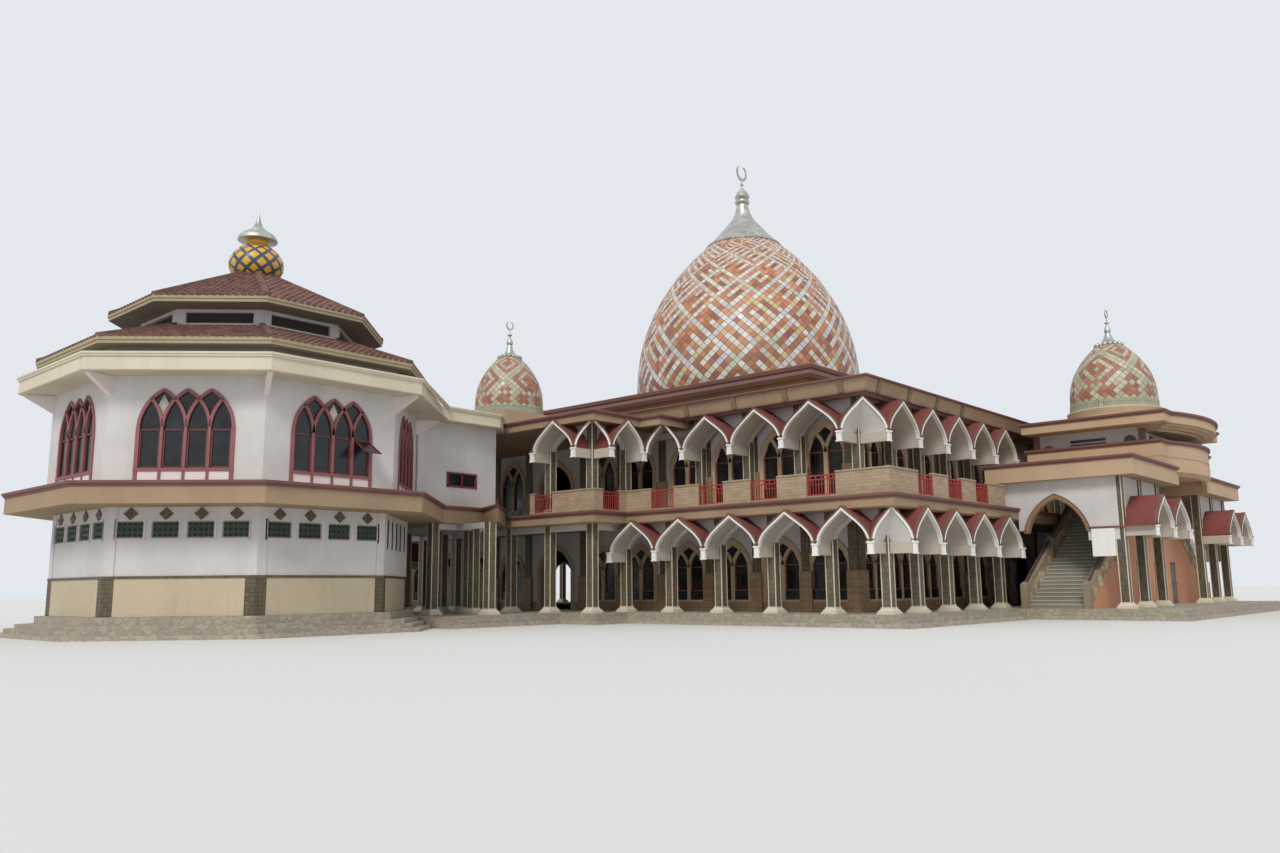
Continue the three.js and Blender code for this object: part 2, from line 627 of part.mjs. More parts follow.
// The flight's depth at the landing, and the length of its flat foot.
const FLIGHT_THICK = 0.35;
const FLIGHT_FOOT = 0.6;
const BALUSTRADE = 0.9;
const PORCH_WALL_Y = 9.6;
const PORCH_COLUMNS = [9.4, 6.65, 3.9];
const PORCH_LINE = 25.75;
const PORCH_FRONT = 27.2;
const PORCH_BAND = [FLOOR + 5.6, FLOOR + 6.44];
const PORCH_BAND_X = [20.25, 26.6];
const PORCH_BAND_Y = [2.75, 10.1];
const PORCH_BRACKET = [FLOOR + 3.0, FLOOR + 3.4];
const PORCH_APEX = FLOOR + 4.65;
// The end wall with its arch: thickness, heights of its underside outside and inside the arch, and its foot.
const PORCH_WALL = { thick: 0.25, outer: FLOOR + 3.42, inner: FLOOR + 2.9, foot: 0.22 };
const ARCH_X = [21.84, 24.46];
const ARCH_SPRING = FLOOR + 3.3;
const ARCH_APEX = FLOOR + 4.85;
const ARCH_STEPS = 5;
// Terrace, its kerb and parapet, the room and the roof over it.
const TERRACE = { x: [20.25, 26.43], half: 4.6, bowHalf: 3.57, bow: 0.75, z: [FLOOR + 6.2, FLOOR + 6.44] };
const TERRACE_KERB = { thick: 0.3, top: FLOOR + 6.9 };
const TERRACE_PARAPET = { thick: 0.2, top: FLOOR + 7.66 };
const ROOM_HALF = 4.0;
const ROOM_X = [20.4, 25.6];
const ENTRANCE_ROOF = { x: [20.25, 26.8], half: 5.2, bowHalf: 4.1, bow: 0.8, z: [FLOOR + 8.42, FLOOR + 8.95] };
const EAST_CURB = [2.7, 2.45];
const DOORS = [-2.95, 0, 2.95];
const DOOR_HALF = 0.5;
const DOOR_HEIGHT = 2.1;
// Running clearance round a leaf, its thickness, its set-back from the wall's face, and its floor pivot.
const LEAF_CLEAR = 0.012;
const LEAF_THICK = 0.06;
const LEAF_INSET = 0.01;
const PIVOT_R = 0.007;
const PIVOT_HEIGHT = 0.1;

const porchLevel = { bracket: PORCH_BRACKET, spring: PORCH_BRACKET[1], apex: PORCH_APEX };

// One stair flight as steps with a sloping underside, rising towards the landing.
function flight() {
  const outline = [];
  for (let i = 0; i < STAIR_STEPS; i += 1) {
    const y = -STAIR_FOOT + i * STAIR_RUN;
    outline.push([y, FLOOR + GAP + i * STAIR_RISE]);
    outline.push([y, FLOOR + GAP + (i + 1) * STAIR_RISE - (i + 1 === STAIR_STEPS ? 2 * GAP : 0)]);
  }
  outline.push([-LANDING_HALF - GAP, LEDGE_TOP - GAP]);
  outline.push([-LANDING_HALF - GAP, LEDGE_TOP - FLIGHT_THICK]);
  outline.push([-STAIR_FOOT + FLIGHT_FOOT, FLOOR + GAP]);
  return upright(outline.reverse(), [STAIR_X[1] - GAP, 0], [STAIR_X[1] - GAP, 1],
    STAIR_X[1] - STAIR_X[0] - 2 * GAP);
}

// A stair side wall: both slopes and the landing between them, with its sloping balustrade on top.
function stairWall(x0, doors) {
  const rise = BALUSTRADE;
  const outline = [
    [-STAIR_FOOT, FLOOR + GAP], [STAIR_FOOT, FLOOR + GAP], [STAIR_FOOT, FLOOR + rise],
    [LANDING_HALF, LEDGE_TOP + rise], [-LANDING_HALF, LEDGE_TOP + rise], [-STAIR_FOOT, FLOOR + rise],
  ];
  const wall = upright(outline, [x0 + STAIR_WALL, 0], [x0 + STAIR_WALL, 1], STAIR_WALL);
  const cuts = doors.map((y) => box(x0 - 1, x0 + 1, y - DOOR_HALF, y + DOOR_HALF, 0, FLOOR + DOOR_HEIGHT));
  return cuts.reduce((whole, cut) => whole.subtract(cut), wall);
}

function innerStairWall() {
  const wall = stairWall(STAIR_X[0] - STAIR_WALL - GAP, []);
  // The landing runs over it into the hall's upper floor.
  const half = LANDING_HALF + GAP;
  return wall.subtract(box(20, 26, -half, half, LEDGE_TOP - LANDING_THICK - GAP, LEDGE_TOP + 2));
}

function outerStairWall() {
  return stairWall(STAIR_X[1] + GAP, DOORS);
}

// A leaf turns on the outer edge of its inner jamb, on a pivot that stands in the floor.
function doorLeaf(y) {
  const face = STAIR_X[1] + GAP + STAIR_WALL - LEAF_INSET;
  const half = DOOR_HALF - LEAF_CLEAR;
  const hinge = y - Math.sign(y) * half;
  const leaf = box(face - LEAF_THICK, face, y - half, y + half, FLOOR + LEAF_CLEAR,
    FLOOR + DOOR_HEIGHT - LEAF_CLEAR);
  const head = FLOOR + PIVOT_HEIGHT;
  const foot = [[0, FLOOR + GAP], [PIVOT_R, FLOOR + GAP], [PIVOT_R, head], [0, head]];
  return leaf.add(lathe(foot, face, hinge, 12));
}

// Porch on the south side of the entrance: the arched end wall, the columns and the two canopies.
function porch() {
  const top = PORCH_BAND[0] - GAP;
  const [x0] = PORCH_BAND_X;
  const x1 = PORCH_LINE;
  const { thick, outer, inner, foot } = PORCH_WALL;
  const wall = upright([
    [0, outer], [ARCH_X[0] - foot - x0, outer],
    ...pointedArc(ARCH_X[0] - x0, ARCH_X[1] - x0, ARCH_SPRING, ARCH_APEX, ARCH_SWELL, ARCH_STEPS),
    [ARCH_X[1] - x0, inner], [x1 - x0, inner], [x1 - x0, top], [0, top],
  ], [x0, -PORCH_WALL_Y], [x1, -PORCH_WALL_Y], thick);
  const last = PORCH_COLUMNS[0];
  const nearest = PORCH_COLUMNS[PORCH_COLUMNS.length - 1];
  const run = PORCH_COLUMNS.map((y) => last - y);
  const depth = PORCH_FRONT - PORCH_LINE;
  const ledge = box(x0 - 1, LEDGE_HALF + GAP, -PORCH_WALL_Y - 1, -PORCH_WALL_Y + 1, FLOOR, LEDGE_TOP + GAP);
  return join([wall.subtract(ledge),
    canopyRun([PORCH_FRONT, -last], [PORCH_FRONT, -nearest], run, depth, porchLevel),
    spandrelRun([PORCH_LINE, -last], [PORCH_LINE, -nearest], run, porchLevel, top),
    ...PORCH_COLUMNS.map((y) => column(PORCH_LINE, -y, FLOOR + GAP, top)),
  ]);
}

// Outline of the terrace and of the roof, drawn in by `inset`: square shoulders and a bow between them.
function bowed(place, inset = 0) {
  const { bowHalf, bow } = place;
  const x0 = place.x[0] - inset;
  const x1 = place.x[1] - inset;
  const half = place.half - inset;
  const points = [[x0, -half], [x1, -half], [x1, -bowHalf]];
  const steps = 8;
  const radius = (bowHalf ** 2 + bow ** 2) / (2 * bow);
  const reach = Math.asin(bowHalf / radius);
  for (let i = 1; i < steps; i += 1) {
    const angle = -reach + (2 * reach * i) / steps;
    points.push([x1 - radius + bow + radius * Math.cos(angle), radius * Math.sin(angle)]);
  }
  points.push([x1, bowHalf], [x1, half], [x0, half]);
  return points;
}

function entranceTerrace() {
  const z = PORCH_BAND;
  const [x0, x1] = PORCH_BAND_X;
  const [y0, y1] = PORCH_BAND_Y;
  const kerb = slab(bowed(TERRACE), TERRACE.z[0], TERRACE_KERB.top);
  const floor = slab(bowed(TERRACE, TERRACE_KERB.thick), TERRACE.z[1], TERRACE_KERB.top + 1);
  return join([box(x0, x1, -y1, -y0, ...z), box(x0, x1, y0, y1, ...z), kerb]).subtract(floor);
}

function terraceParapet() {
  const z = [TERRACE_KERB.top + GAP, TERRACE_PARAPET.top];
  return slab(bowed(TERRACE), ...z).subtract(slab(bowed(TERRACE, TERRACE_PARAPET.thick), z[0] - 1, z[1] + 1));
}

function entranceRoom() {
  const z = [TERRACE.z[1] + GAP, ENTRANCE_ROOF.z[0] - GAP];
  const [x0, x1] = ROOM_X;
  const h = ROOM_HALF;
  const outer = box(x0, x1, -h, h, ...z);
  const inner = box(x0 - 1, x1 - WALL_THICK, -h + WALL_THICK, h - WALL_THICK, z[0] - 1, z[1] + 1);
  return outer.subtract(inner);
}

function entranceRoof() {
  const foot = ENTRANCE_ROOF.z[1] - LAP;
  const curb = lathe([[0, foot], [EAST_CURB[0], foot], [EAST_CURB[1], EAST_DOME_BASE - GAP],
    [0, EAST_DOME_BASE - GAP]], EAST_DOME_X, 0, 16);
  return slab(bowed(ENTRANCE_ROOF), ...ENTRANCE_ROOF.z).add(curb);
}

function parapetRun(a, b, posts) {
  const length = plan(a, b);
  const z0 = LEDGE_TOP + GAP;
  const z1 = LEDGE_TOP + PARAPET_HEIGHT;
  const low = z0 + RAILS.low;
  const high = z1 - RAILS.high;
  const holes = posts.map(([u0, u1]) => [[u0, low], [u1, low], [u1, high], [u0, high]]);
  return pierced([[0, z0], [length, z0], [length, z1], [0, z1]], a, b, PARAPET_THICK, holes);
}

function parapetHalf(withArm) {
  const line = PARAPET_LINE;
  const start = withArm ? ARM_LEDGE_HALF - PARAPET_INSET : ENTRANCE_START;
  const bays = GROUND_STATIONS.filter((x) => x - BAY_HALF > start)
    .map((x) => [x - BAY_HALF - start, x + BAY_HALF - start]);
  const pieces = [parapetRun([start, -line], [line, -line], bays)];
  if (withArm) {
    const armLine = ARM_LEDGE - PARAPET_INSET;
    const x = ARM_LEDGE_HALF - PARAPET_INSET;
    const [frontStart, frontBays] = withArm === 'link' ? [LINK_START, LINK_BAYS] : [GAP, FRONT_BAYS];
    pieces.push(parapetRun([x, -armLine], [x, -line + PARAPET_THICK], SIDE_BAYS));
    pieces.push(parapetRun([frontStart, -armLine], [x, -armLine], frontBays));
  }
  return join(pieces);
}

function parapetCorner(eastArm) {
  return parapetHalf('link').add(acrossDiagonal(parapetHalf(eastArm)));
}

function plainParapetCorner() {
  return parapetHalf('plain').add(acrossDiagonal(parapetHalf('plain')));
}

// Pavilion

function octagonRing(apothem, z0, z1) {
  return slab(octagon(apothem), z0, z1).subtract(slab(octagon(apothem - WALL_THICK), z0 - 1, z1 + 1));
}

function pavilionWall() {
  const z = [PAVILION_FLOOR + GAP, PAVILION_LEDGE[0] - GAP];
  let wall = octagonRing(PAVILION_WALL, ...z);
  for (let face = 0; face < 8; face += 1) {
    if (face === DOOR_FACE) {
      wall = wall.subtract(faceCutter(panel(0, PAVILION_DOOR.half, 0, PAVILION_DOOR.ground), face));
    } else {
      const hole = face === SLIT_FACE ? SLIT : VENT;
      for (const place of VENT_PLACES) {
        wall = wall.subtract(faceCutter(panel(place, hole.half, ...hole.z), face));
      }
    }
  }
  return wall;
}

function pavilionUpperWall() {
  const z = [PAVILION_LEDGE[1] + GAP, PAVILION_EAVE[0] - GAP];
  let wall = octagonRing(PAVILION_UPPER_WALL, ...z);
  const floor = PAVILION_LEDGE[1];
  const { sill, spring, peak } = TALL_WINDOW;
  for (let face = 0; face < 8; face += 1) {
    if (face === DOOR_FACE) {
      wall = wall.subtract(faceCutter(panel(0, PAVILION_DOOR.half, floor - 1, floor + PAVILION_DOOR.upper), face));
    } else {
      for (const middle of [-LIGHT, 0, LIGHT]) {
        wall = wall.subtract(faceCutter(
          pointedOpening(middle - LIGHT, middle + LIGHT, floor + sill, floor + spring, floor + peak), face));
      }
    }
  }
  return wall;
}

function pavilionFloor() {
  const [z0, z1] = PAVILION_LEDGE;
  const link = [[-LINK_HALF, -28.5], [LINK_HALF, -28.5], [LINK_HALF, -25.6], [5.5, -26.7], [2.8, LINK_END],
    [-2.8, LINK_END], [-5.5, -26.7], [-LINK_HALF, -25.6]];
  const { out, room, thick } = PAVILION_SLAB;
  const whole = slab(octagon(out), z0, z1).add(slab(link, z0, z1));
  return whole.subtract(slab(octagon(room), z0 - 1, z1 - thick));
}

function pavilionEave() {
  const [z0, z1] = PAVILION_EAVE;
  const link = [[-LINK_EAVE_HALF, -28.5], [LINK_EAVE_HALF, -28.5], [LINK_EAVE_HALF, -24.9], [2.6, LINK_END],
    [-2.6, LINK_END], [-LINK_EAVE_HALF, -24.9]];
  const { out, room, well } = PAVILION_EAVE_SLAB;
  const whole = slab(octagon(out), z0, z1).add(slab(link, z0, z1));
  return whole.subtract(slab(octagon(room), z0 - 1, z1 - SLAB_THICK)).subtract(slab(octagon(well), z0, z1 + 1));
}

// Octagonal tile roof: an upright curb, an eave board and a sloping shell.
function lowerTileRoof() {
  const [curb, board, edge, top] = LOWER_TIER;
  const shell = LOWER_SHELL;
  const outer = join([
    octagonTaper(shell.curb, shell.curb, curb + GAP, board + LAP),
    octagonTaper(shell.edge, shell.edge, board, edge),
    octagonTaper(shell.edge, shell.top, edge, top),
  ]);
  const inner = join([
    octagonTaper(shell.inCurb, shell.inCurb, curb - 1, board + 2 * LAP),
    octagonTaper(shell.inCurb, shell.inTop, board + 2 * LAP, top),
    octagonTaper(shell.inTop, shell.inTop, top - LAP, top + 1),
  ]);
  return outer.subtract(inner);
}

function clerestory() {
  const z0 = LOWER_TIER[3] + GAP;
  const z1 = UPPER_TIER[0] - GAP;
  const { out, thick, lightHalf, rail } = CLERESTORY;
  let wall = slab(octagon(out), z0, z1).subtract(slab(octagon(out - thick), z0 - 1, z1 + 1));
  for (let face = 0; face < 8; face += 1) {
    wall = wall.subtract(faceCutter(panel(0, lightHalf, z0 + rail, z1 - rail), face, 4.5, 2));
  }
  return wall;
}

function upperTileRoof() {
  const [board, edge, top] = UPPER_TIER;
  const shell = UPPER_SHELL;
  const ceiling = board + shell.thick;
  const outer = octagonTaper(shell.edge, shell.edge, board, edge).add(octagonTaper(shell.edge, shell.top, edge, top));
  const inner = octagonTaper(shell.inBoard, shell.inBoard, board - 1, ceiling + LAP)
    .add(octagonTaper(shell.inEdge, shell.inTop, ceiling, top - shell.thick));
  return outer.subtract(inner);
}

function pavilionFinial() {
  return lathe(raised(PAVILION_FINIAL, UPPER_TIER[2] + GAP), 0, PAVILION_Y, 12);
}

const LINK_COLUMNS = [[2.6, -27.9], [2.6, -25.6], [4.9, -26.6], [1.0, -24.6]];
// Link wall thickness, the ends of its walls, the window in each, and the ceiling between them.
const LINK_WALL = { thick: 0.2, y: [-28.93, -24.5], windowY: [-27.3, -25.7], window: [0.95, 1.55], ceiling: 0.15 };
// Half sizes of the beams over the link's columns, and the beams' height.
const LINK_BEAM = { half: 0.12, height: 0.25, y: -26.6, inX: 2.6, outX: 4.9, north: -24.6, south: -27.9 };

function linkWalls() {
  const z = [PAVILION_LEDGE[1] + GAP, PAVILION_EAVE[0] - GAP];
  const { thick, y, windowY, window, ceiling } = LINK_WALL;
  const half = LINK_WALL_HALF;
  const wall = box(half - thick, half, ...y, ...z)
    .subtract(box(half - 1, half + 1, ...windowY, z[0] + window[0], z[0] + window[1]));
  return join([wall, mirrored(wall, true, false), box(-half, half, ...y, z[1] - ceiling, z[1])]);
}

function linkColumns() {
  const top = PAVILION_LEDGE[0] - GAP;
  const { half, height, y, inX, outX, north, south } = LINK_BEAM;
  const beam = [top - height, top];
  const pieces = [
    box(-outX, outX, y - half, y + half, ...beam),
    box(-inX - half, inX + half, north - half, north + half, ...beam),
  ];
  for (const side of [-1, 1]) {
    const x = side * inX;
    pieces.push(box(x - half, x + half, south, north + half, ...beam));
    pieces.push(...LINK_COLUMNS.map(([across, along]) => column(side * across, along, FLOOR + GAP, top)));
  }
  return join(pieces);
}

// Attic, drum and domes

function atticWall() {
  const z = [ATTIC_BOTTOM + GAP, ATTIC_TOP - GAP];
  const h = ATTIC_HALF;
  const i = h - WALL_THICK;
  return box(-h, h, -h, h, ...z).subtract(box(-i, i, -i, i, z[0] - 1, z[1] + 1));
}

function atticRoof() {
  const h = ATTIC_ROOF_HALF;
  const out = DRUM_R + DRUM_HALF;
  const foot = ATTIC_ROOF_TOP - LAP;
  const drum = lathe([[0, foot], [out, foot], [out, DOME_BASE - GAP], [0, DOME_BASE - GAP]], 0, 0, 24);
  const inside = DRUM_R - DRUM_HALF;
  const well = lathe([[0, ATTIC_TOP - 1], [inside, ATTIC_TOP - 1], [inside, DOME_BASE + 1],
    [0, DOME_BASE + 1]], 0, 0, 24);
  return box(-h, h, -h, h, ATTIC_TOP, ATTIC_ROOF_TOP).add(drum).subtract(well);
}

function mainDome() {
  return domeShell({ r: MAIN_DOME.foot, z: DOME_BASE }, MAIN_DOME.widest, MAIN_DOME.top, DOME_THICK, 0, 0, 8, 24);
}

function mainFinial() {
  return lathe(raised(MAIN_FINIAL, MAIN_DOME.top.z + GAP), 0, 0, 12);
}

function smallDome(x, y, base, { r, top }) {
  const foot = { r: r + SMALL_DOME_FOOT, z: base };
  const rim = { r: r / 5 + SMALL_DOME_RIM, z: top };
  return domeShell(foot, { r, z: base + SMALL_DOME_WIDEST }, rim, SMALL_DOME_THICK, x, y, 5, 12);
}

function smallFinial(x, y, { r, top }) {
  const cap = SMALL_CAP.r * r;
  return lathe(raised([[0, 0], [cap, 0], [cap, SMALL_CAP.rim], ...SMALL_FINIAL], top + GAP), x, y, 8);
}

// Assembly

const building = new THREE.Group();

function add(name, manifold, colour, roughness = 0.85, metalness = 0) {
  const geometry = toGeometry(manifold).toNonIndexed();
  geometry.scale(MODEL_MM, MODEL_MM, MODEL_MM);
  geometry.computeVertexNormals();
  const material = new THREE.MeshStandardMaterial({ color: colours[colour], roughness, metalness });
  const mesh = new THREE.Mesh(mergeVertices(geometry), material);
  mesh.name = name;
  building.add(mesh);
}

add('plinth', plinth(), 'plinth');
add('upper_floor', upperFloor(), 'stucco');
add('main_roof', mainRoof(), 'stucco');

const groundEntrance = groundCorner(false);
const groundArm = groundCorner(true);
add('ground_arcade_se', groundEntrance, 'plaster');
add('ground_arcade_ne', mirrored(groundEntrance, false, true), 'plaster');
add('ground_arcade_sw', mirrored(groundArm, true, false), 'plaster');
add('ground_arcade_nw', mirrored(groundArm, true, true), 'plaster');

add('upper_arcade_se', upperCorner('link', 'entrance'), 'plaster');
add('upper_arcade_ne', mirrored(upperCorner('plain', 'entrance'), false, true), 'plaster');
add('upper_arcade_sw', mirrored(upperCorner('link', 'plain'), true, false), 'plaster');
add('upper_arcade_nw', mirrored(upperCorner('plain', 'plain'), true, true), 'plaster');

const sides = ['south', 'east', 'north', 'west'];
const groundWall = [FLOOR + GAP, LEDGE_BOTTOM - GAP, 0.9, 2.0, 0.95];
const upperWall = [LEDGE_TOP + GAP, EAVE_BOTTOM - GAP, 0.9, 2.3, 1.1];
sides.forEach((side, i) => {
  const wall = i % 2 === 0 ? hallWall : sideWall;
  add(`ground_wall_${side}`, turned(wall(...groundWall), i), 'plaster');
  add(`upper_wall_${side}`, turned(wall(...upperWall), i), 'plaster');
});

add('parapet_se', parapetCorner(false), 'sand');
add('parapet_ne', mirrored(parapetHalf('plain').add(acrossDiagonal(parapetHalf(false))), false, true), 'sand');
add('parapet_sw', mirrored(parapetCorner('plain'), true, false), 'sand');
add('parapet_nw', mirrored(plainParapetCorner(), true, true), 'sand');

add('attic_wall', atticWall(), 'stucco');
add('attic_roof', atticRoof(), 'dark');
add('main_dome', mainDome(), 'dome');
add('main_dome_finial', mainFinial(), 'metal', 0.35, 0.9);

const smallDomes = [
  ['south', 0, -SMALL_DOME_Y, SMALL_DOME_BASE, ARM_DOME],
  ['west', -SMALL_DOME_Y, 0, SMALL_DOME_BASE, ARM_DOME],
  ['north', 0, SMALL_DOME_Y, SMALL_DOME_BASE, ARM_DOME],
  ['east', EAST_DOME_X, 0, EAST_DOME_BASE, EAST_DOME],
];
for (const [side, x, y, base, size] of smallDomes) {
  add(`${side}_dome`, smallDome(x, y, base, size), 'dome');
  add(`${side}_dome_finial`, smallFinial(x, y, size), 'metal', 0.35, 0.9);
}

add('pavilion_wall', pavilionWall(), 'plaster');
add('pavilion_floor', pavilionFloor(), 'stucco');
add('pavilion_upper_wall', pavilionUpperWall(), 'plaster');
add('pavilion_eave', pavilionEave(), 'cream');
add('pavilion_lower_roof', lowerTileRoof(), 'roof');
add('pavilion_clerestory', clerestory(), 'dark');
add('pavilion_upper_roof', upperTileRoof(), 'roof');
add('pavilion_finial', pavilionFinial(), 'yellow', 0.5, 0.3);
add('link_walls', linkWalls(), 'plaster');
add('link_columns', linkColumns(), 'tile');

const southFlight = flight();
add('stair_flight_south', southFlight, 'stair');
add('stair_flight_north', mirrored(southFlight, false, true), 'stair');
add('stair_inner_wall', innerStairWall(), 'salmon');
add('stair_outer_wall', outerStairWall(), 'salmon');
add('door_left', doorLeaf(DOORS[0]), 'door');
add('door_right', doorLeaf(DOORS[2]), 'doorGrey');
const southPorch = porch();
add('porch_south', southPorch, 'plaster');
add('porch_north', mirrored(southPorch, false, true), 'plaster');
add('entrance_terrace', entranceTerrace(), 'stucco');
add('terrace_parapet', terraceParapet(), 'stucco');
add('entrance_room', entranceRoom(), 'plaster');
add('entrance_roof', entranceRoof(), 'stucco');

export default building;
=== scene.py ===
"""Dresses the half-scale domed prayer hall: mouldings, canopies, windows, tiles, finishes and stage.

Sizes are the real building's, in metres; every finished mesh is brought to the half-scale model at the end.
"""

import json
import math

import bpy
from bpy.props import FloatProperty, FloatVectorProperty, IntProperty, PointerProperty
from bpy.types import Operator, Panel, PropertyGroup
from mathutils import Matrix, Vector

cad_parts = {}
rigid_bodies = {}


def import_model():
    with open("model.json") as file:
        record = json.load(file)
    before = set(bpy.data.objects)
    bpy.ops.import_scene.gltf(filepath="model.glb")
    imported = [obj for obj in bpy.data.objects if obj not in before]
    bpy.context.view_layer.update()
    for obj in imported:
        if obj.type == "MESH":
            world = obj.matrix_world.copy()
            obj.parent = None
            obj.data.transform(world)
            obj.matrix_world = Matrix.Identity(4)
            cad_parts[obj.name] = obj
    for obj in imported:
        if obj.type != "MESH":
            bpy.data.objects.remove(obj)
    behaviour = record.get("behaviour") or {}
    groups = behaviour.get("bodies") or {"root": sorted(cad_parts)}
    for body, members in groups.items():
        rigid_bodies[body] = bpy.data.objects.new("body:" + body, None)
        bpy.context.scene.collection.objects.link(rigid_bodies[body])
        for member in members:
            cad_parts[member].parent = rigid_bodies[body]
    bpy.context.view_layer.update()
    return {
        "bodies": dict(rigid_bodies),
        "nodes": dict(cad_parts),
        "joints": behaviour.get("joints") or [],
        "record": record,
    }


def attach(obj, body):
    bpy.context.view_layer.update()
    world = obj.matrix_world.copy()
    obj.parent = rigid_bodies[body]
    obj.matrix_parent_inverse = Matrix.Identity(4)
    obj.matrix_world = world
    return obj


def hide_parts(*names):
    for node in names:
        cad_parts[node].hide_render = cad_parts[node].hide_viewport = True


bl_info = {
    "name": "Domed Prayer Hall",
    "version": (1, 0, 0),
    "blender": (4, 5, 0),
    "location": "View3D > Sidebar > Prayer Hall",
    "description": "Builds the mouldings, windows, tiles and finishes of a domed prayer hall",
    "category": "Object",
}

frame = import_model()

SCALE = 0.5
FLOOR = 0.45
BUILDING = "building"
CAD = frame["nodes"]
PIECES = []
MERGE = 0.0004
CORNERS = ("se", "ne", "sw", "nw")

# Levels of the building.
LEDGE_BOTTOM = FLOOR + 3.94
LEDGE_TOP = FLOOR + 4.44
EAVE_BOTTOM = FLOOR + 8.86
EAVE_TOP = FLOOR + 9.46
ARM_EAVE_BOTTOM = FLOOR + 8.4
ARM_EAVE_TOP = FLOOR + 8.85
ATTIC_TOP = FLOOR + 11.5
ATTIC_ROOF_TOP = FLOOR + 12.0

# Plan of the hall.
COLUMN_LINE = 20.67
GROUND_FRONT = 21.85
GROUND_STATIONS = (7.5, 10.2, 12.9, 15.6, 18.3)
LEDGE_HALF = 21.48
WALL_LINE = 17.95
UPPER_LINE = 18.4
UPPER_FRONT = 19.85
UPPER_STATIONS = (10.2, 12.9, 15.6)
ENTRANCE_STATIONS = (4.8, 7.5, 10.2, 12.9, 15.6)
EAVE_HALF = 19.3
ATTIC_HALF = 12.2
ATTIC_ROOF_HALF = 12.9
ARM_HALF = 7.5
ARM_LINE = 22.9
ARM_FRONT = 24.1
ARM_SIDE_FRONT = 8.72
ARM_STATIONS = (2.1, 4.8, 7.5)
ARM_LEDGE = 23.6
ARM_LEDGE_HALF = 8.27
ARM_EAVE = 23.9
ARM_EAVE_HALF = 8.55
ARM_STEP = 20.8
ARM_STEP_HALF = 9.75
WINDOW_PLACES = (3.45, 6.0, 9.0, 11.55, 14.25, 16.6)
DOORWAY_HALF = 1.2
SILL = 0.5
COLUMN_HALF = 0.18
PARAPET_LINE = 21.25
PARAPET = (1.0, 0.12)

# Canopies: bracket underside, springing and apex of each level.
GROUND_LEVEL = (FLOOR + 2.2, FLOOR + 2.62, FLOOR + 3.88)
UPPER_LEVEL = (FLOOR + 6.8, FLOOR + 7.2, FLOOR + 8.55)
ARM_LEVEL = (FLOOR + 6.8, FLOOR + 7.2, FLOOR + 8.5)
PORCH_LEVEL = (FLOOR + 3.0, FLOOR + 3.4, FLOOR + 4.65)
BRACKET_HALF = 0.115
ARC_STEPS = 7
ARCH_SWELL = 0.52
CANOPY_HANDLES = ((0.05, 0.46), (0.58, 0.67))
CANOPY_STEPS = 10

# Pavilion.
PAVILION_Y = -35.35
EIGHTH = math.pi / 8
PAVILION_FLOOR = FLOOR + 0.27
PAVILION_WALL = 6.1
PAVILION_UPPER_WALL = 6.4
PAVILION_LEDGE = (FLOOR + 3.97, FLOOR + 4.72)
PAVILION_EAVE = (FLOOR + 8.49, FLOOR + 9.09)

# The camera's place in the model's metres, its yaw, pitch and roll, and its lens in millimetres.
CAMERA_PLACE = (19.3935, -27.557, 0.7445)
CAMERA_TURN = (-0.72241, 0.16017, 0.010525)
CAMERA_LENS = 28.215
SENSOR_WIDTH = 36


# Modelling helpers


def settle(obj):
    """Puts an object's place into its mesh."""
    obj.data.transform(obj.matrix_world)
    obj.matrix_world = Matrix.Identity(4)
    return obj


def clear_selection():
    bpy.ops.object.select_all(action="DESELECT")


def edit(obj):
    clear_selection()
    obj.select_set(True)
    bpy.context.view_layer.objects.active = obj
    bpy.ops.object.mode_set(mode="EDIT")
    bpy.ops.mesh.select_all(action="SELECT")


def leave_edit():
    bpy.ops.object.mode_set(mode="OBJECT")


def outward(obj):
    """Merges doubles and turns the faces of a closed shape outwards."""
    edit(obj)
    bpy.ops.mesh.remove_doubles(threshold=MERGE)
    bpy.ops.mesh.normals_make_consistent(inside=False)
    leave_edit()
    return obj


def applied():
    """The object just added, with its place in its mesh."""
    bpy.ops.object.transform_apply(location=True, rotation=True, scale=True)
    return bpy.context.active_object


def block(x0, x1, y0, y1, z0, z1):
    """A cube between two corners."""
    clear_selection()
    centre = ((x0 + x1) / 2, (y0 + y1) / 2, (z0 + z1) / 2)
    bpy.ops.mesh.primitive_cube_add(size=1, location=centre,
        scale=(abs(x1 - x0), abs(y1 - y0), abs(z1 - z0)))
    return applied()


def taper(x, y, z0, z1, half0, half1):
    """A square frustum, measured to its flats."""
    clear_selection()
    reach = math.sqrt(2)
    bpy.ops.mesh.primitive_cone_add(vertices=4, radius1=half0 * reach, radius2=half1 * reach, depth=z1 - z0,
        location=(x, y, (z0 + z1) / 2), rotation=(0, 0, math.pi / 4))
    return applied()


def pillar(x, y, half, z0, z1):
    """A square block round an upright axis."""
    return block(x - half, x + half, y - half, y + half, z0, z1)


def bars_round(x0, x1, z0, z1, bar, y0, y1):
    """Four bars just inside an upright rectangle."""
    uprights = [block(u, u + bar, y0, y1, z0, z1) for u in (x0, x1 - bar)]
    return uprights + [block(x0, x1, y0, y1, z, z + bar) for z in (z0, z1 - bar)]


def ring_points(count, closed):
    """An empty ring of vertices, as a flat face or as an open line of edges."""
    clear_selection()
    bpy.ops.mesh.primitive_circle_add(vertices=count, fill_type="NGON" if closed else "NOTHING")
    return bpy.context.active_object


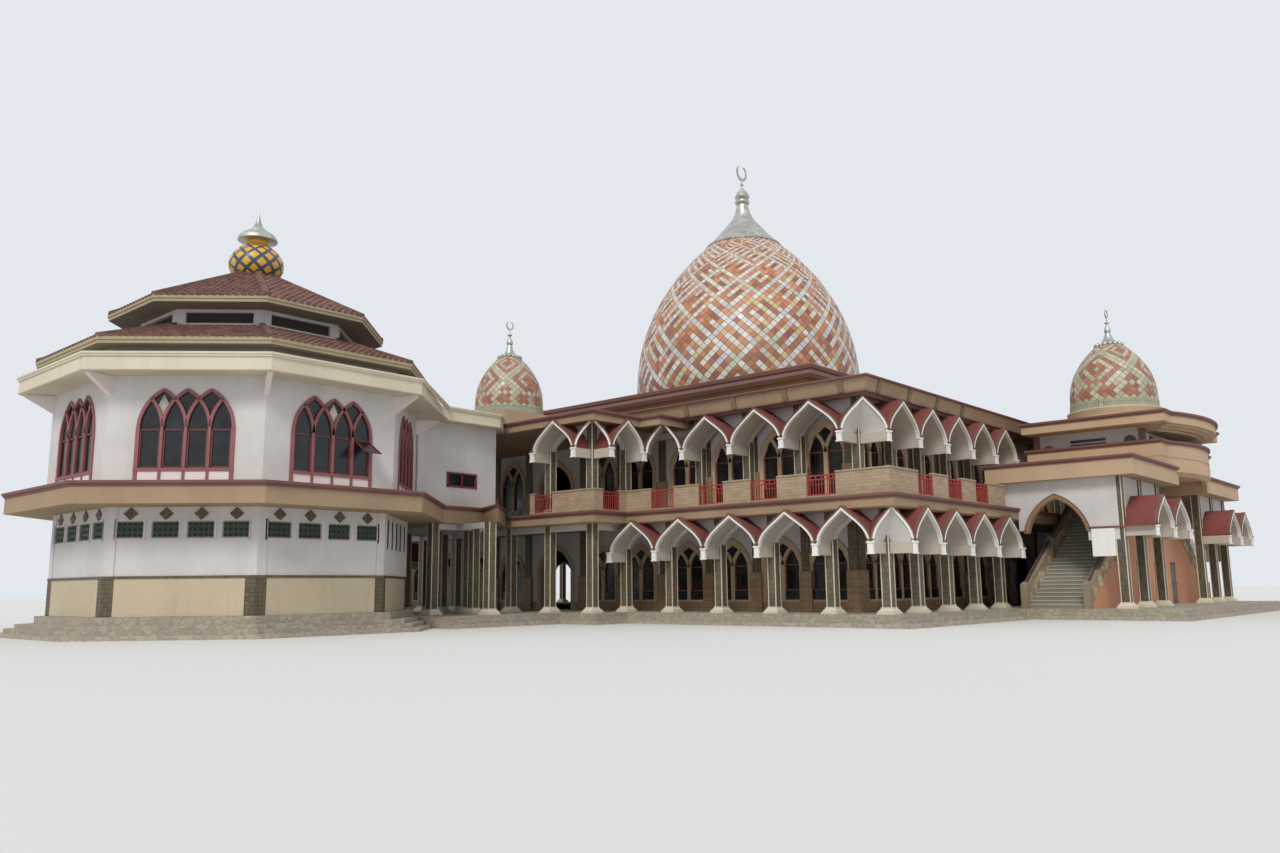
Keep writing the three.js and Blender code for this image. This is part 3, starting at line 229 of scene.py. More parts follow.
def prism(points, push):
    """A flat outline of points in space, extruded by the push vector into a closed solid."""
    obj = ring_points(len(points), True)
    for vertex, point in zip(obj.data.vertices, points):
        vertex.co = point
    edit(obj)
    bpy.ops.mesh.extrude_region_move(TRANSFORM_OT_translate={"value": push})
    bpy.ops.mesh.select_all(action="SELECT")
    bpy.ops.mesh.normals_make_consistent(inside=False)
    leave_edit()
    return obj


def upright(points, y0, y1):
    """An outline of (x, z) pairs, extruded from y0 to y1."""
    return prism([(x, y0, z) for x, z in points], (0, y1 - y0, 0))


def slab(points, z0, z1):
    """An outline of (x, y) pairs, extruded from z0 to z1."""
    return prism([(x, y, z0) for x, y in points], (0, 0, z1 - z0))


def lathe(profile, steps, x=0.0, y=0.0, z=0.0, r=0.0):
    """A closed profile of (radius, height) pairs, measured from r and z and spun about an upright axis."""
    obj = ring_points(len(profile), False)
    for vertex, (radius, height) in zip(obj.data.vertices, profile):
        vertex.co = (x + r + radius, y, z + height)
    edit(obj)
    bpy.ops.mesh.spin(steps=steps, angle=2 * math.pi, center=(x, y, 0), axis=(0, 0, 1))
    bpy.ops.mesh.select_all(action="SELECT")
    bpy.ops.mesh.remove_doubles(threshold=MERGE)
    bpy.ops.mesh.dissolve_degenerate(threshold=MERGE)
    bpy.ops.mesh.normals_make_consistent(inside=False)
    leave_edit()
    return obj


def offset_outline(points, distance):
    """A closed outline, drawn anticlockwise, moved outwards with mitred corners."""
    moved_points = []
    corners = [Vector(point) for point in points]
    for i, here in enumerate(corners):
        one = (here - corners[i - 1]).normalized()
        two = (corners[(i + 1) % len(corners)] - here).normalized()
        mitre = Vector((one.y + two.y, -one.x - two.x))
        reach = distance * min(2 / mitre.length_squared, 1.6)
        moved_points.append((here.x + mitre.x * reach, here.y + mitre.y * reach))
    return moved_points


def moulding(points, level, section):
    """A closed sweep of (outward offset, height over the level) pairs round an anticlockwise outline."""
    clear_selection()
    bpy.ops.mesh.primitive_torus_add(major_segments=len(points), minor_segments=len(section))
    obj = bpy.context.active_object
    rings = [offset_outline(points, offset) for offset, height in section]
    for i in range(len(points)):
        for j, (offset, height) in enumerate(section):
            obj.data.vertices[i * len(section) + j].co = (*rings[j][i], level + height)
    settle(obj)
    return outward(obj)


def twin(part, place):
    """A copy with its own mesh under a placing matrix; a mirrored copy keeps its faces outwards."""
    copy = part.copy()
    copy.data = part.data.copy()
    bpy.context.collection.objects.link(copy)
    copy.data.transform(place)
    if place.determinant() < 0:
        copy.data.flip_normals()
    return copy


def duplicate(master, x=0.0, y=0.0, z=0.0, turn=0.0):
    """A copy turned about the upright axis and then moved."""
    return twin(master, Matrix.Translation((x, y, z)) @ Matrix.Rotation(turn, 4, "Z"))


def discard(*objects):
    for obj in objects:
        bpy.data.objects.remove(obj)


def finish(name, parts, material, replaces=(), body=BUILDING, smooth=False, slot=None):
    """Joins parts into one named piece, brings it to the model's scale and fastens it to its body."""
    obj = fused(parts)
    slot = slot or SLOT_OF[material]
    obj.name = name
    obj.data.name = name
    if smooth:
        bpy.ops.object.shade_smooth_by_angle(angle=math.radians(38))
    obj.data.transform(Matrix.Scale(SCALE, 4))
    obj.data.materials.clear()
    obj.data.materials.append(finish_for(material))
    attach(obj, body)
    if replaces:
        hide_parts(*replaces)
    PIECES.append(name)


def finish_round(name, parts, material):
    """Finishes parts drawn for the south side, repeated on all four sides."""
    finish(name, [duplicate(part, turn=i * math.pi / 2) for part in parts for i in range(4)], material)
    discard(*parts)


def whole_arch(left, u0, u1):
    """An arch line from its left half, whose points are measured from u0."""
    return [(u0 + u, z) for u, z in left] + [(u1 - u, z) for u, z in reversed(left[:-1])]


def pointed_arc(u0, u1, spring, apex, steps=ARC_STEPS):
    """A pointed arch from (u0, spring) over its apex to (u1, spring); its sides are arcs over chords."""
    half = (u1 - u0) / 2
    rise = apex - spring
    lean = math.atan2(rise, half)
    turn = min(ARCH_SWELL, math.pi / 2 - lean)
    radius = math.hypot(half, rise) / (2 * math.sin(turn))
    start = lean + turn
    angles = [start - 2 * turn * i / steps for i in range(steps + 1)]
    left = [(radius * (math.sin(start) - math.sin(a)),
        spring + radius * (math.cos(a) - math.cos(start))) for a in angles]
    return whole_arch(left, u0, u1)


def canopy_arc(u0, u1, spring, apex):
    """Points of a canopy's arch, whose steep sides bend over to a blunt point."""
    half, rise = (u1 - u0) / 2, apex - spring
    (near_u, near_z), (far_u, far_z) = CANOPY_HANDLES
    left = []
    for i in range(CANOPY_STEPS + 1):
        t = i / CANOPY_STEPS
        one, two, three = 3 * t * (1 - t) ** 2, 3 * t ** 2 * (1 - t), t ** 3
        across = half * (one * near_u + two * far_u + three)
        left.append((across, spring + rise * (one * near_z + two * far_z + three)))
    return whole_arch(left, u0, u1)


def arch_band(half, spring, apex, out, into, y0, y1, foot=0.0):
    """A band along a pointed arch, from `into` inside the arch line to `out` outside it."""
    outer = pointed_arc(-half - out, half + out, spring, apex + out * 1.25)
    inner = pointed_arc(-half + into, half - into, spring, apex - into * 1.25)
    if foot:
        outer = [(outer[0][0], spring - foot)] + outer + [(outer[-1][0], spring - foot)]
        inner = [(inner[0][0], spring - foot)] + inner + [(inner[-1][0], spring - foot)]
    return upright(outer + inner[::-1], y0, y1)


def octagon(apothem):
    """Corners of the pavilion's octagon with flat sides to the four quarters, anticlockwise."""
    radius = apothem / math.cos(EIGHTH)
    angles = [EIGHTH * (2 * i + 1) for i in range(8)]
    return [(radius * math.cos(a), PAVILION_Y + radius * math.sin(a)) for a in angles]


def on_faces(parts, apothem, faces=range(8)):
    """Parts drawn with their face at y = 0 looking to -y, repeated on the pavilion's sides."""
    made = []
    for part in parts:
        for angle in (face * math.pi / 4 for face in faces):
            x, y = apothem * math.cos(angle), PAVILION_Y + apothem * math.sin(angle)
            made.append(duplicate(part, x, y, 0, angle + math.pi / 2))
    return made


# Finishes


def tint(red, green, blue):
    """A colour as it looks on a screen, 0 to 255, turned into the shader's linear values."""
    channels = [channel / 255 for channel in (red, green, blue)]
    return tuple(c / 12.92 if c <= 0.04045 else ((c + 0.055) / 1.055) ** 2.4 for c in channels)


class Number:
    """A shader value to reckon with; each step of the reckoning is one Math node."""

    def __init__(self, skin, socket):
        self.skin = skin
        self.socket = socket

    def floor(self):
        return self.skin.maths("FLOOR", self)

    def to_edge(self):
        """Distance from the nearest whole number."""
        return self.skin.maths("PINGPONG", self, 0.5)

    def __abs__(self):
        return self.skin.maths("ABSOLUTE", self)


RECKONING = {"__add__": "ADD", "__sub__": "SUBTRACT", "__mul__": "MULTIPLY", "__truediv__": "DIVIDE",
    "__mod__": "FLOORED_MODULO", "__lt__": "LESS_THAN", "__gt__": "GREATER_THAN", "__and__": "MINIMUM",
    "__or__": "MAXIMUM"}
for sign, step in RECKONING.items():
    setattr(Number, sign, lambda self, other, step=step: self.skin.maths(step, self, other))


class Finish:
    """A node material in the making, with short calls for the nodes it needs."""

    def __init__(self, name, roughness=0.8, metallic=0.0):
        self.material = bpy.data.materials.new(name)
        self.material.use_nodes = True
        self.nodes = self.material.node_tree.nodes
        self.shader = self.nodes["Principled BSDF"]
        self.shader.inputs["Roughness"].default_value = roughness
        self.shader.inputs["Metallic"].default_value = metallic
        outputs = self.nodes.new("ShaderNodeTexCoord").outputs
        self.uv = outputs["UV"]
        self.normal = outputs["Normal"]
        self.real = self.mapped(outputs["Object"], (1 / SCALE,) * 3)

    def fill(self, socket, value):
        """A socket takes a number, a colour or another node's output."""
        value = value.socket if isinstance(value, Number) else value
        if isinstance(value, bpy.types.NodeSocket):
            self.material.node_tree.links.new(value, socket)
        elif hasattr(value, "__len__") and socket.type == "RGBA":
            socket.default_value = (*value[:3], 1)
        else:
            socket.default_value = value

    def node(self, kind, *values, operation=None):
        """A node with its first inputs filled; gives its first output as a number."""
        node = self.nodes.new(f"ShaderNode{kind}")
        if operation:
            node.operation = operation
        for socket, value in zip(node.inputs, values):
            self.fill(socket, value)
        return Number(self, node.outputs[0])

    def mapped(self, vector, scale):
        return self.node("Mapping", vector, (0, 0, 0), (0, 0, 0), scale)

    def maths(self, operation, *values):
        return self.node("Math", *values, operation=operation)

    def split(self, vector):
        node = self.nodes.new("ShaderNodeSeparateXYZ")
        self.fill(node.inputs[0], vector)
        return [Number(self, output) for output in node.outputs]

    def joined(self, *values):
        return self.node("CombineXYZ", *values)

    def along_wall(self):
        """Distance along an upright face, and height, both in real metres."""
        cross = self.node("VectorMath", self.normal, self.real, operation="CROSS_PRODUCT")
        return self.split(cross)[2], self.split(self.real)[2]

    def noise(self, scale, detail=3.0, vector=None):
        node = self.nodes.new("ShaderNodeTexNoise")
        for key, value in (("Scale", scale), ("Detail", detail), ("Roughness", 0.55),
                ("Vector", vector or self.real)):
            self.fill(node.inputs[key], value)
        return Number(self, node.outputs["Fac"])

    def chance(self, *values):
        return self.node("TexWhiteNoise", self.joined(*values))

    def range(self, value, low, high, to_low=0.0, to_high=1.0):
        return self.node("MapRange", value, low, high, to_low, to_high)

    def mix(self, factor, one, two):
        node = self.nodes.new("ShaderNodeMix")
        node.data_type = "RGBA"
        for key, value in (("Factor", factor), (6, one), (7, two)):
            self.fill(node.inputs[key], value)
        return Number(self, node.outputs[2])

    def pick(self, factor, colours):
        """One of several colours, by a factor from 0 to 1."""
        node = self.nodes.new("ShaderNodeValToRGB")
        node.color_ramp.interpolation = "CONSTANT"
        elements = node.color_ramp.elements
        while len(elements) < len(colours):
            elements.new(1.0)
        for i, (element, colour) in enumerate(zip(elements, colours)):
            element.position = i / len(colours)
            element.color = (*colour, 1)
        self.fill(node.inputs[0], factor)
        return Number(self, node.outputs[0])

    def bump(self, height, distance, strength=0.6):
        node = self.nodes.new("ShaderNodeBump")
        for key, value in (("Strength", strength), ("Distance", distance * SCALE), ("Height", height)):
            self.fill(node.inputs[key], value)
        self.fill(self.shader.inputs["Normal"], node.outputs[0])

    def done(self, colour, roughness=None):
        self.fill(self.shader.inputs["Base Color"], colour)
        if roughness is not None:
            self.fill(self.shader.inputs["Roughness"], roughness)
        return self.material


def shade(colour, factor):
    return tuple(min(1.0, channel * factor) for channel in colour)


def weathered(name, colour, mottle=0.12, grain=18.0, relief=0.006, roughness=0.85, streaks=0.15):
    """Painted or rendered masonry: broad patches, rain streaks, fine grain and a slightly uneven face."""
    skin = Finish(name, roughness)
    patches = skin.noise(0.55, 4.0)
    base = skin.mix(skin.range(patches, 0.3, 0.7), shade(colour, 1 - mottle),
        shade(colour, 1 + mottle * 0.6))
    rain = skin.noise(1.0, 3.0, skin.mapped(skin.real, (3.2, 3.2, 0.35)))
    stained = skin.mix(skin.range(rain, 0.5, 0.75, 0.0, streaks), base, shade(colour, 0.55))
    speckle = skin.noise(grain, 2.0)
    worn = skin.mix(skin.range(speckle, 0.35, 0.65, 0.0, 0.16), stained, shade(colour, 0.7))
    skin.bump(speckle, relief)
    return skin.done(worn, skin.range(patches, 0.2, 0.8, roughness - 0.08, min(1.0, roughness + 0.06)))


def tiled_wall(name, colour, joint, width, height, offset=0.0, variety=0.3, gap=0.012, relief=0.006,
        roughness=0.45):
    """Tiles on an upright face, each with its own shade, with joints between them."""
    skin = Finish(name, roughness)
    along, rise = skin.along_wall()
    up = rise / height
    row = up.floor()
    shift = skin.maths("MODULO", row, 2.0) * offset
    across = along / width + shift
    own = skin.chance(across.floor(), row)
    face = skin.mix(own, shade(colour, 1 - variety), shade(colour, 1 + variety))
    cloud = skin.mix(skin.range(skin.noise(1.3), 0.35, 0.7, 0.0, 0.35), face, shade(colour, 0.72))
    inside = skin.range(across.to_edge() * width & up.to_edge() * height, gap * 0.5, gap)
    skin.bump(inside, relief)
    return skin.done(skin.mix(inside, joint, cloud), skin.range(inside, 0.0, 1.0, 0.85, roughness))


def patchwork(name, colours, size, joint, relief=0.01):
    """Irregular flat stones of several colours, fitted together."""
    skin = Finish(name)
    cells, edges = (skin.nodes.new("ShaderNodeTexVoronoi") for part in range(2))
    edges.feature = "DISTANCE_TO_EDGE"
    for node in (cells, edges):
        node.inputs["Scale"].default_value = 1 / size
        skin.fill(node.inputs["Vector"], skin.real)
    stone = skin.pick(skin.split(cells.outputs["Color"])[0], colours)
    cloudy = skin.mix(skin.range(skin.noise(9.0), 0.3, 0.7, 0.0, 0.35), stone, shade(colours[0], 0.6))
    inside = skin.range(edges.outputs["Distance"], 0.03, 0.08)
    skin.bump(inside, relief)
    return skin.done(skin.mix(inside, joint, cloudy))


def glossy_paint(name, colour, roughness=0.4):
    """Painted metal or wood, with chips and dust."""
    skin = Finish(name, roughness)
    dust = skin.noise(3.0, 4.0)
    chips = skin.noise(38.0, 2.0)
    base = skin.mix(skin.range(dust, 0.35, 0.75), colour, shade(colour, 1.35))
    worn = skin.mix(skin.range(chips, 0.62, 0.7, 0.0, 0.45), base, shade(colour, 0.4))
    skin.bump(chips, 0.002)
    return skin.done(worn, skin.range(dust, 0.3, 0.8, roughness, roughness + 0.25))


def glass_with_painted_reflection(name, colour):
    """Old window glass before a dark room, drawn as an opaque surface of the given colour; the colour is made
    lighter and darker along the ripple as a painted reflection.
    """
    skin = Finish(name, 0.12)
    ripple = skin.noise(1.6, 2.0)
    skin.bump(ripple, 0.01, 0.3)
    # The colour mixed by the ripple is painted reflection; the bump and roughness are the glass's own.
    return skin.done(skin.mix(skin.range(ripple, 0.3, 0.7), shade(colour, 0.5), shade(colour, 1.6)),
        skin.range(ripple, 0.3, 0.7, 0.08, 0.3))


def beaten_metal(name, colour):
    """Sheet metal with plate seams, dents and dulled patches."""
    skin = Finish(name, 0.32, 0.85)
    patches = skin.noise(1.8, 4.0)
    skin.bump(skin.noise(6.0, 2.0), 0.02, 0.4)
    return skin.done(skin.mix(skin.range(patches, 0.35, 0.7), shade(colour, 0.7), shade(colour, 1.08)),
        skin.range(patches, 0.3, 0.7, 0.32, 0.52))


def square_blocks(skin, one, two, size):
    """Square rings and a core inside each block of cells, with gaps, over a zigzag row at the foot."""
    ring = abs(one % size - 4.0) | abs(two % size - 4.0)
    even = skin.maths("SUBTRACT", 1.0, ring % 2.0 < 0.5)
    bridge = skin.chance((one / 2.0).floor(), (two / 2.0).floor()) > 0.72
    drawn = (ring < 3.5) * (even | bridge)
    rise = one - two
    low = (rise < 3.5) * (rise > 0.5)
    teeth = (one + two) % 6.0 < 3.5
    return drawn * (rise > 4.5) | low * teeth


def woven_strips(skin, one, two, size):
    """Long strips round each block of cells, and shorter ones inside it that all run one way."""
    block_one, block_two = (one / size).floor(), (two / size).floor()
    turn = skin.chance(block_one, block_two, 5.1)
    shown = []
    lanes = ((one, two, block_two, 1.3, turn > 0.5), (two, one, block_one, 8.9, turn < 0.5))
    for lane, along, part, seed, inner in lanes:
        kept = skin.chance(lane, part, seed) > 0.1
        start = skin.chance(lane, part, seed + 2.0) * 3.4
        short = (lane % 2.0 < 1.0) * (along % size > start)
        shown.append((lane % size < 1.0) * kept | short * inner)
    return shown[0] | shown[1]


def dome_tiles(name, grounds, strips, heart, joint, size, pattern, fade=None):
    """Small tiles on a diagonal grid with pale strips, one tile wide, on the piece's own UV map."""
    skin = Finish(name, 0.4)
    across, up, depth = skin.split(skin.uv)
    one, two = across + up, across - up
    cell_one, cell_two = one.floor(), two.floor()
    own = skin.chance(cell_one, cell_two)
    other = skin.chance(cell_one, cell_two, 3.7)
    middle = [skin.maths("COMPARE", cell % size, size / 2 + 0.5, 0.6) for cell in (cell_one, cell_two)]
    in_heart = middle[0] * middle[1] * (other > 0.35)
    body = skin.pick(own, grounds)
    if fade:
        colour, low, high = fade
        part = skin.range(skin.split(skin.real)[2], low, high, 1.0, 0.0)
        body = skin.mix(part * (other > 0.4), body, colour)
    body = skin.mix(0.3, body, skin.mix(other, shade(grounds[0], 0.7), shade(grounds[0], 1.3)))
    ground = skin.mix(in_heart, body, heart)
    drawn = skin.mix(pattern(skin, cell_one, cell_two, size), ground, skin.pick(other, strips))
    inside = skin.range(one.to_edge() & two.to_edge(), 0.02, 0.08)
    soot = skin.mix(skin.range(skin.noise(0.5, 4.0), 0.45, 0.75, 0.0, 0.3), drawn, shade(grounds[0], 0.5))
    skin.bump(inside, 0.006)
    return skin.done(skin.mix(inside, joint, soot), skin.range(own, 0.0, 1.0, 0.3, 0.6))


def lattice_glaze(name, ground, line):
    """A glazed bulb with a dark diamond lattice, on the piece's own UV map."""
    skin = Finish(name, 0.35)
    across, up, depth = skin.split(skin.uv)
    inside = skin.range((across + up).to_edge() & (across - up).to_edge(), 0.15, 0.18)
    glaze = skin.mix(skin.noise(4.0), shade(ground, 0.75), shade(ground, 1.2))
    skin.bump(inside, 0.005)
    return skin.done(skin.mix(inside, line, glaze))


def pan_tiles(name, colour):
    """Baked roof tiles, each course with its own shade."""
    skin = Finish(name, 0.75)
    x, y, z = skin.split(skin.real)
    own = skin.chance((x * 3.3).floor(), (y * 3.3).floor(), (z * 6.2).floor())
    face = skin.mix(own, shade(colour, 0.65), shade(colour, 1.35))
    moss = skin.mix(skin.range(skin.noise(1.1, 4.0), 0.5, 0.75, 0.0, 0.5), face, shade(colour, 0.5))
    skin.bump(skin.noise(22.0), 0.008)
    return skin.done(moss)


SLOTS = {
    "plaster": ("plaster", "pink_plaster", "canopy_white", "soffit", "stone_frame", "grey_plaster"),
    "stucco": ("stucco", "rib", "sand", "canopy_tan", "dome_ring", "porch_rim"),
    "cream_stucco": ("strip", "cream", "cream_dado", "eave_board"),
    "salmon_plaster": ("salmon",),
    "dark_edge": ("maroon", "canopy_brown", "dark_edge", "dark_rail"),
    "column_tile": ("column_tile", "dark_column", "dado", "olive_dado"),
    "parapet_tile": ("parapet",),
    "dome_tile": ("main_dome", "small_dome", "tall_tiles"),
    "yellow_tile": ("yellow", "yellow_plain"),
    "roof_tile": ("barrel", "roof_tile", "ridge_tile", "roof_underside"),
    "painted_grille": ("frame_red", "window_rose", "sash", "glass", "pale_glass", "rail_red", "lattice_green",
        "dark_room"),
    "stair_stone": ("stair", "tread", "patch_stone", "newel"),
    "paving_stone": ("plinth",),
    "metal": ("silver", "brass"),
    "door_red": ("door_red",),
    "door_grey": ("door_grey",),
}


SLOT_OF = {finish: slot for slot, finishes in SLOTS.items() for finish in finishes}


# Sizes and colours a user would change


def swatch(name, description, default):
    return FloatVectorProperty(name=name, description=description, default=default, subtype="COLOR", size=3,
        min=0.0, max=1.0)


def length(name, description, default):
    return FloatProperty(name=name, description=description, default=default, unit="LENGTH", min=0.001,
        max=5.0)


class HallSizes(PropertyGroup):
    """Sizes of the real building's details, in metres."""

    white_band: length("White band", "Depth of the white inner band of a canopy front", 0.065)
    tan_band: length("Tan band", "Depth of the tan middle band of a canopy front", 0.055)
    brown_edge: length("Brown edge", "Depth of the brown outer edge of a canopy front", 0.03)
    strip_width: length("Column strip", "Width of the cream strips at a column's corners", 0.036)
    frame_width: length("Window frame", "Width of the bars of the window frames", 0.045)
    surround_width: length("Window surround", "Width of the band round a hall window", 0.22)
    picket_gap: length("Picket spacing", "Distance between the pickets of the railings", 0.13)
    tile_pitch: length("Roof tile pitch", "Distance between the columns of roof tiles", 0.27)
    dome_tiles_round: IntProperty(name="Dome tiles", description="Diagonal tile cells round the main dome",
        default=88, min=24, max=400)
    small_dome_tiles: IntProperty(name="Small dome tiles",
        description="Diagonal tile cells round a small dome", default=34, min=12, max=200)


class HallColours(PropertyGroup):
    """Colours of the building's finishes."""

    plaster: swatch("Plaster", "Walls under the canopies", tint(204, 199, 197))
    pink_plaster: swatch("Pink plaster", "Upper walls of the pavilion", tint(226, 214, 212))
    stucco: swatch("Stucco", "Ledges and eaves", tint(158, 134, 107))
    maroon: swatch("Maroon moulding", "Top mouldings of ledges and eaves", tint(118, 78, 72))
    canopy_white: swatch("Canopy white", "Inner band of the canopy fronts", tint(232, 230, 226))
    canopy_tan: swatch("Canopy tan", "Middle band of the canopy fronts", tint(176, 160, 138))
    canopy_brown: swatch("Canopy brown", "Outer edge of the canopy fronts", tint(116, 80, 66))
    barrel: swatch("Barrel roofs", "Roofs of the canopies", tint(128, 66, 61))
    soffit: swatch("Soffits", "Undersides of the canopies", tint(188, 178, 164))
    column_tile: swatch("Column tile", "Tiles of the columns", tint(104, 94, 74))
    strip: swatch("Strips", "Cream strips and bases", tint(212, 204, 184))
    frame_red: swatch("Frames", "Window frames", tint(120, 58, 46))
    rail_red: swatch("Railings", "Railings of the ledge", tint(146, 50, 44))
    parapet: swatch("Parapet tile", "Stone tiles of the parapet", tint(166, 144, 119))
    terracotta: swatch("Dome terracotta", "Ground colour of the dome tiles", tint(182, 120, 88))
    dome_pale: swatch("Dome strips", "Pale strips of the dome tiles", tint(206, 204, 196))
    silver: swatch("Silver", "Metal caps and finials", tint(196, 196, 188))
    roof_tile: swatch("Roof tile", "Tiles of the pavilion roofs", tint(118, 82, 74))
    yellow: swatch("Yellow glaze", "Bulb of the pavilion's finial", tint(214, 162, 52))
    salmon: swatch("Salmon plaster", "Stair walls of the entrance", tint(206, 146, 112))
    door_red: swatch("Left door", "Paint of the left door", tint(116, 36, 32))
    door_grey: swatch("Right door", "Paint of the right door", tint(98, 94, 88))
    stair: swatch("Stair stone", "Treads of the entrance stairs", tint(176, 172, 154))
    plinth: swatch("Plinth stone", "Steps and floor round the hall", tint(168, 158, 142))


def sizes():
    return bpy.context.scene.hall_sizes


def colours():
    return bpy.context.scene.hall_colours


FINISHES = {}


def finish_for(name):
    """Each finish is made once, when a piece first needs it."""
    if name not in FINISHES:
        FINISHES[name] = make_finish(name)
    return FINISHES[name]


def make_finish(name):
    """Makes one finish from its row: the maker, what it takes in order and what it takes by name."""
    c = colours()
    brown, pale = tint(70, 58, 48), tint(140, 122, 100)
    terracottas = [c.terracotta, shade(c.terracotta, 0.75), tint(150, 96, 66), tint(196, 128, 84),
        tint(128, 82, 62), tint(206, 150, 120)]
    dome_strips = [c.dome_pale, tint(186, 186, 194), c.dome_pale, tint(196, 190, 170), tint(178, 184, 164),
        c.dome_pale, tint(190, 188, 188), tint(196, 176, 124)]
    greens = [tint(178, 174, 148), tint(162, 164, 138), tint(188, 182, 160), tint(154, 152, 126)]
    reds = [tint(160, 100, 80), tint(146, 92, 74), tint(170, 112, 90)]
    stones = [tint(196, 174, 138), tint(168, 144, 112), tint(206, 192, 162), tint(150, 134, 116),
        tint(182, 148, 112)]
    paving = [c.plinth, shade(c.plinth, 0.9), shade(c.plinth, 1.06)]
    rows = {
        "plaster": (weathered, c.plaster),
        "pink_plaster": (weathered, c.pink_plaster, dict(mottle=0.06, streaks=0.1)),
        "stucco": (weathered, c.stucco, 0.14, 26.0, 0.009),
        "rib": (weathered, shade(c.stucco, 0.6), 0.1),
        "sand": (weathered, tint(186, 158, 128), 0.12, 26.0, 0.008),
        "stone_frame": (weathered, tint(188, 164, 134), 0.1),
        "porch_rim": (weathered, tint(150, 120, 92)),
        "maroon": (weathered, c.maroon, 0.2, 14.0, dict(roughness=0.7)),
        "canopy_white": (weathered, c.canopy_white, 0.06, dict(roughness=0.6, streaks=0.2)),
        "canopy_tan": (weathered, c.canopy_tan, dict(roughness=0.7)),
        "canopy_brown": (weathered, c.canopy_brown, 0.2, dict(roughness=0.7)),
        "barrel": (weathered, c.barrel, 0.25, 9.0, 0.025, 0.9),
        "soffit": (weathered, c.soffit),
        "column_tile": (tiled_wall, c.column_tile, brown, 0.1, 0.2, 0.5, 0.28, 0.008, 0.004),
        "dark_column": (tiled_wall, shade(c.column_tile, 0.85), brown, 0.1, 0.2, 0.5, 0.3, 0.008),
        "strip": (weathered, c.strip, 0.08, dict(roughness=0.55)),
        "frame_red": (glossy_paint, c.frame_red),
        "window_rose": (glossy_paint, tint(132, 80, 80), 0.55),
        "sash": (glossy_paint, tint(92, 46, 44), 0.5),
        "dark_rail": (glossy_paint, tint(70, 58, 52), 0.5),
        "newel": (weathered, tint(142, 126, 104), 0.2),
        "cream": (weathered, tint(208, 197, 174), 0.1, dict(roughness=0.7)),
        "rail_red": (glossy_paint, c.rail_red),
        # Near-black glass: painted shade of the dark room behind the panes.
        "glass": (glass_with_painted_reflection, tint(26, 28, 31)),
        "pale_glass": (glass_with_painted_reflection, tint(176, 168, 164)),
        "parapet": (tiled_wall, c.parapet, pale, 0.36, 0.13, 0.5, 0.14, 0.01, 0.005, 0.7),
        "dado": (tiled_wall, tint(158, 128, 98), brown, 0.3, 0.3, 0.0, 0.12, 0.008, 0.004),
        "cream_dado": (weathered, tint(190, 175, 148), 0.1, dict(roughness=0.6)),
        "olive_dado": (tiled_wall, tint(92, 82, 58), brown, 0.15, 0.15, 0.0, 0.25, 0.01, 0.004),
        "main_dome": (dome_tiles, terracottas, dome_strips, tint(136, 84, 62), tint(98, 80, 68), 6,
            woven_strips, (tint(112, 78, 60), 14.0, 17.0)),
        "small_dome": (dome_tiles, greens, reds, tint(170, 170, 146), tint(104, 96, 80), 9, square_blocks),
        "dome_ring": (weathered, tint(182, 164, 136), dict(roughness=0.6)),
        "tall_tiles": (tiled_wall, tint(158, 162, 140), tint(96, 92, 76), 0.16, 0.44, 0.0, 0.2, 0.01),
        "silver": (beaten_metal, c.silver),
        "roof_tile": (pan_tiles, c.roof_tile),
        "ridge_tile": (pan_tiles, shade(c.roof_tile, 0.75)),
        "eave_board": (weathered, tint(164, 150, 120), dict(roughness=0.7)),
        "yellow": (lattice_glaze, c.yellow, tint(62, 74, 92)),
        "yellow_plain": (weathered, c.yellow, dict(roughness=0.4)),
        "salmon": (weathered, c.salmon, 0.1, dict(streaks=0.25)),
        "door_red": (glossy_paint, c.door_red),
        "door_grey": (glossy_paint, c.door_grey),
        "brass": (beaten_metal, tint(172, 140, 78)),
        "stair": (weathered, shade(c.stair, 0.6), 0.16, 12.0, dict(roughness=0.8)),
        "tread": (weathered, c.stair, 0.16, 12.0, dict(roughness=0.6)),
        "plinth": (patchwork, paving, 0.32, shade(c.plinth, 0.72), 0.005),
        "patch_stone": (patchwork, stones, 0.34, tint(150, 136, 112)),
        "lattice_green": (glossy_paint, tint(58, 76, 60)),
        "roof_underside": (weathered, tint(134, 124, 114), 0.14),
        # A dark flat colour put behind the vents and slits and in the clerestory: painted shade of the room
        # inside.
        "dark_room": (weathered, tint(58, 52, 48), dict(roughness=0.95)),
        "grey_plaster": (weathered, tint(198, 196, 190), 0.1),
        "dark_edge": (weathered, tint(128, 96, 88), 0.16, dict(roughness=0.75)),
    }
    maker, *values = rows[name]
    options = values.pop() if isinstance(values[-1], dict) else {}
    return maker(name, *values, **options)


# Arcades: canopies, spandrels and columns, drawn for the south side and carried to every corner


ARCADE_FINISHES = {
    "roofs": "barrel",
    "white_fronts": "canopy_white",
    "tan_fronts": "canopy_tan",
    "brown_edges": "canopy_brown",
    "soffits": "soffit",
    "brackets": "canopy_white",
    "beams": "soffit",
    "spandrels": "plaster",
    "shafts": "column_tile",
    "strips": "strip",
    "bases": "strip",
}


def clipped(points, limit):
    """An arch line cut off where it passes the limits -limit and limit."""
    kept = []
    for here, after in zip(points, points[1:] + [None]):
        if abs(here[0]) <= limit:
            kept.append(here)
        if after and (abs(here[0]) > limit) != (abs(after[0]) > limit):
            edge = math.copysign(limit, here[0] + after[0])
            share = (edge - here[0]) / (after[0] - here[0])
            kept.append((edge, here[1] + share * (after[1] - here[1])))
    return kept


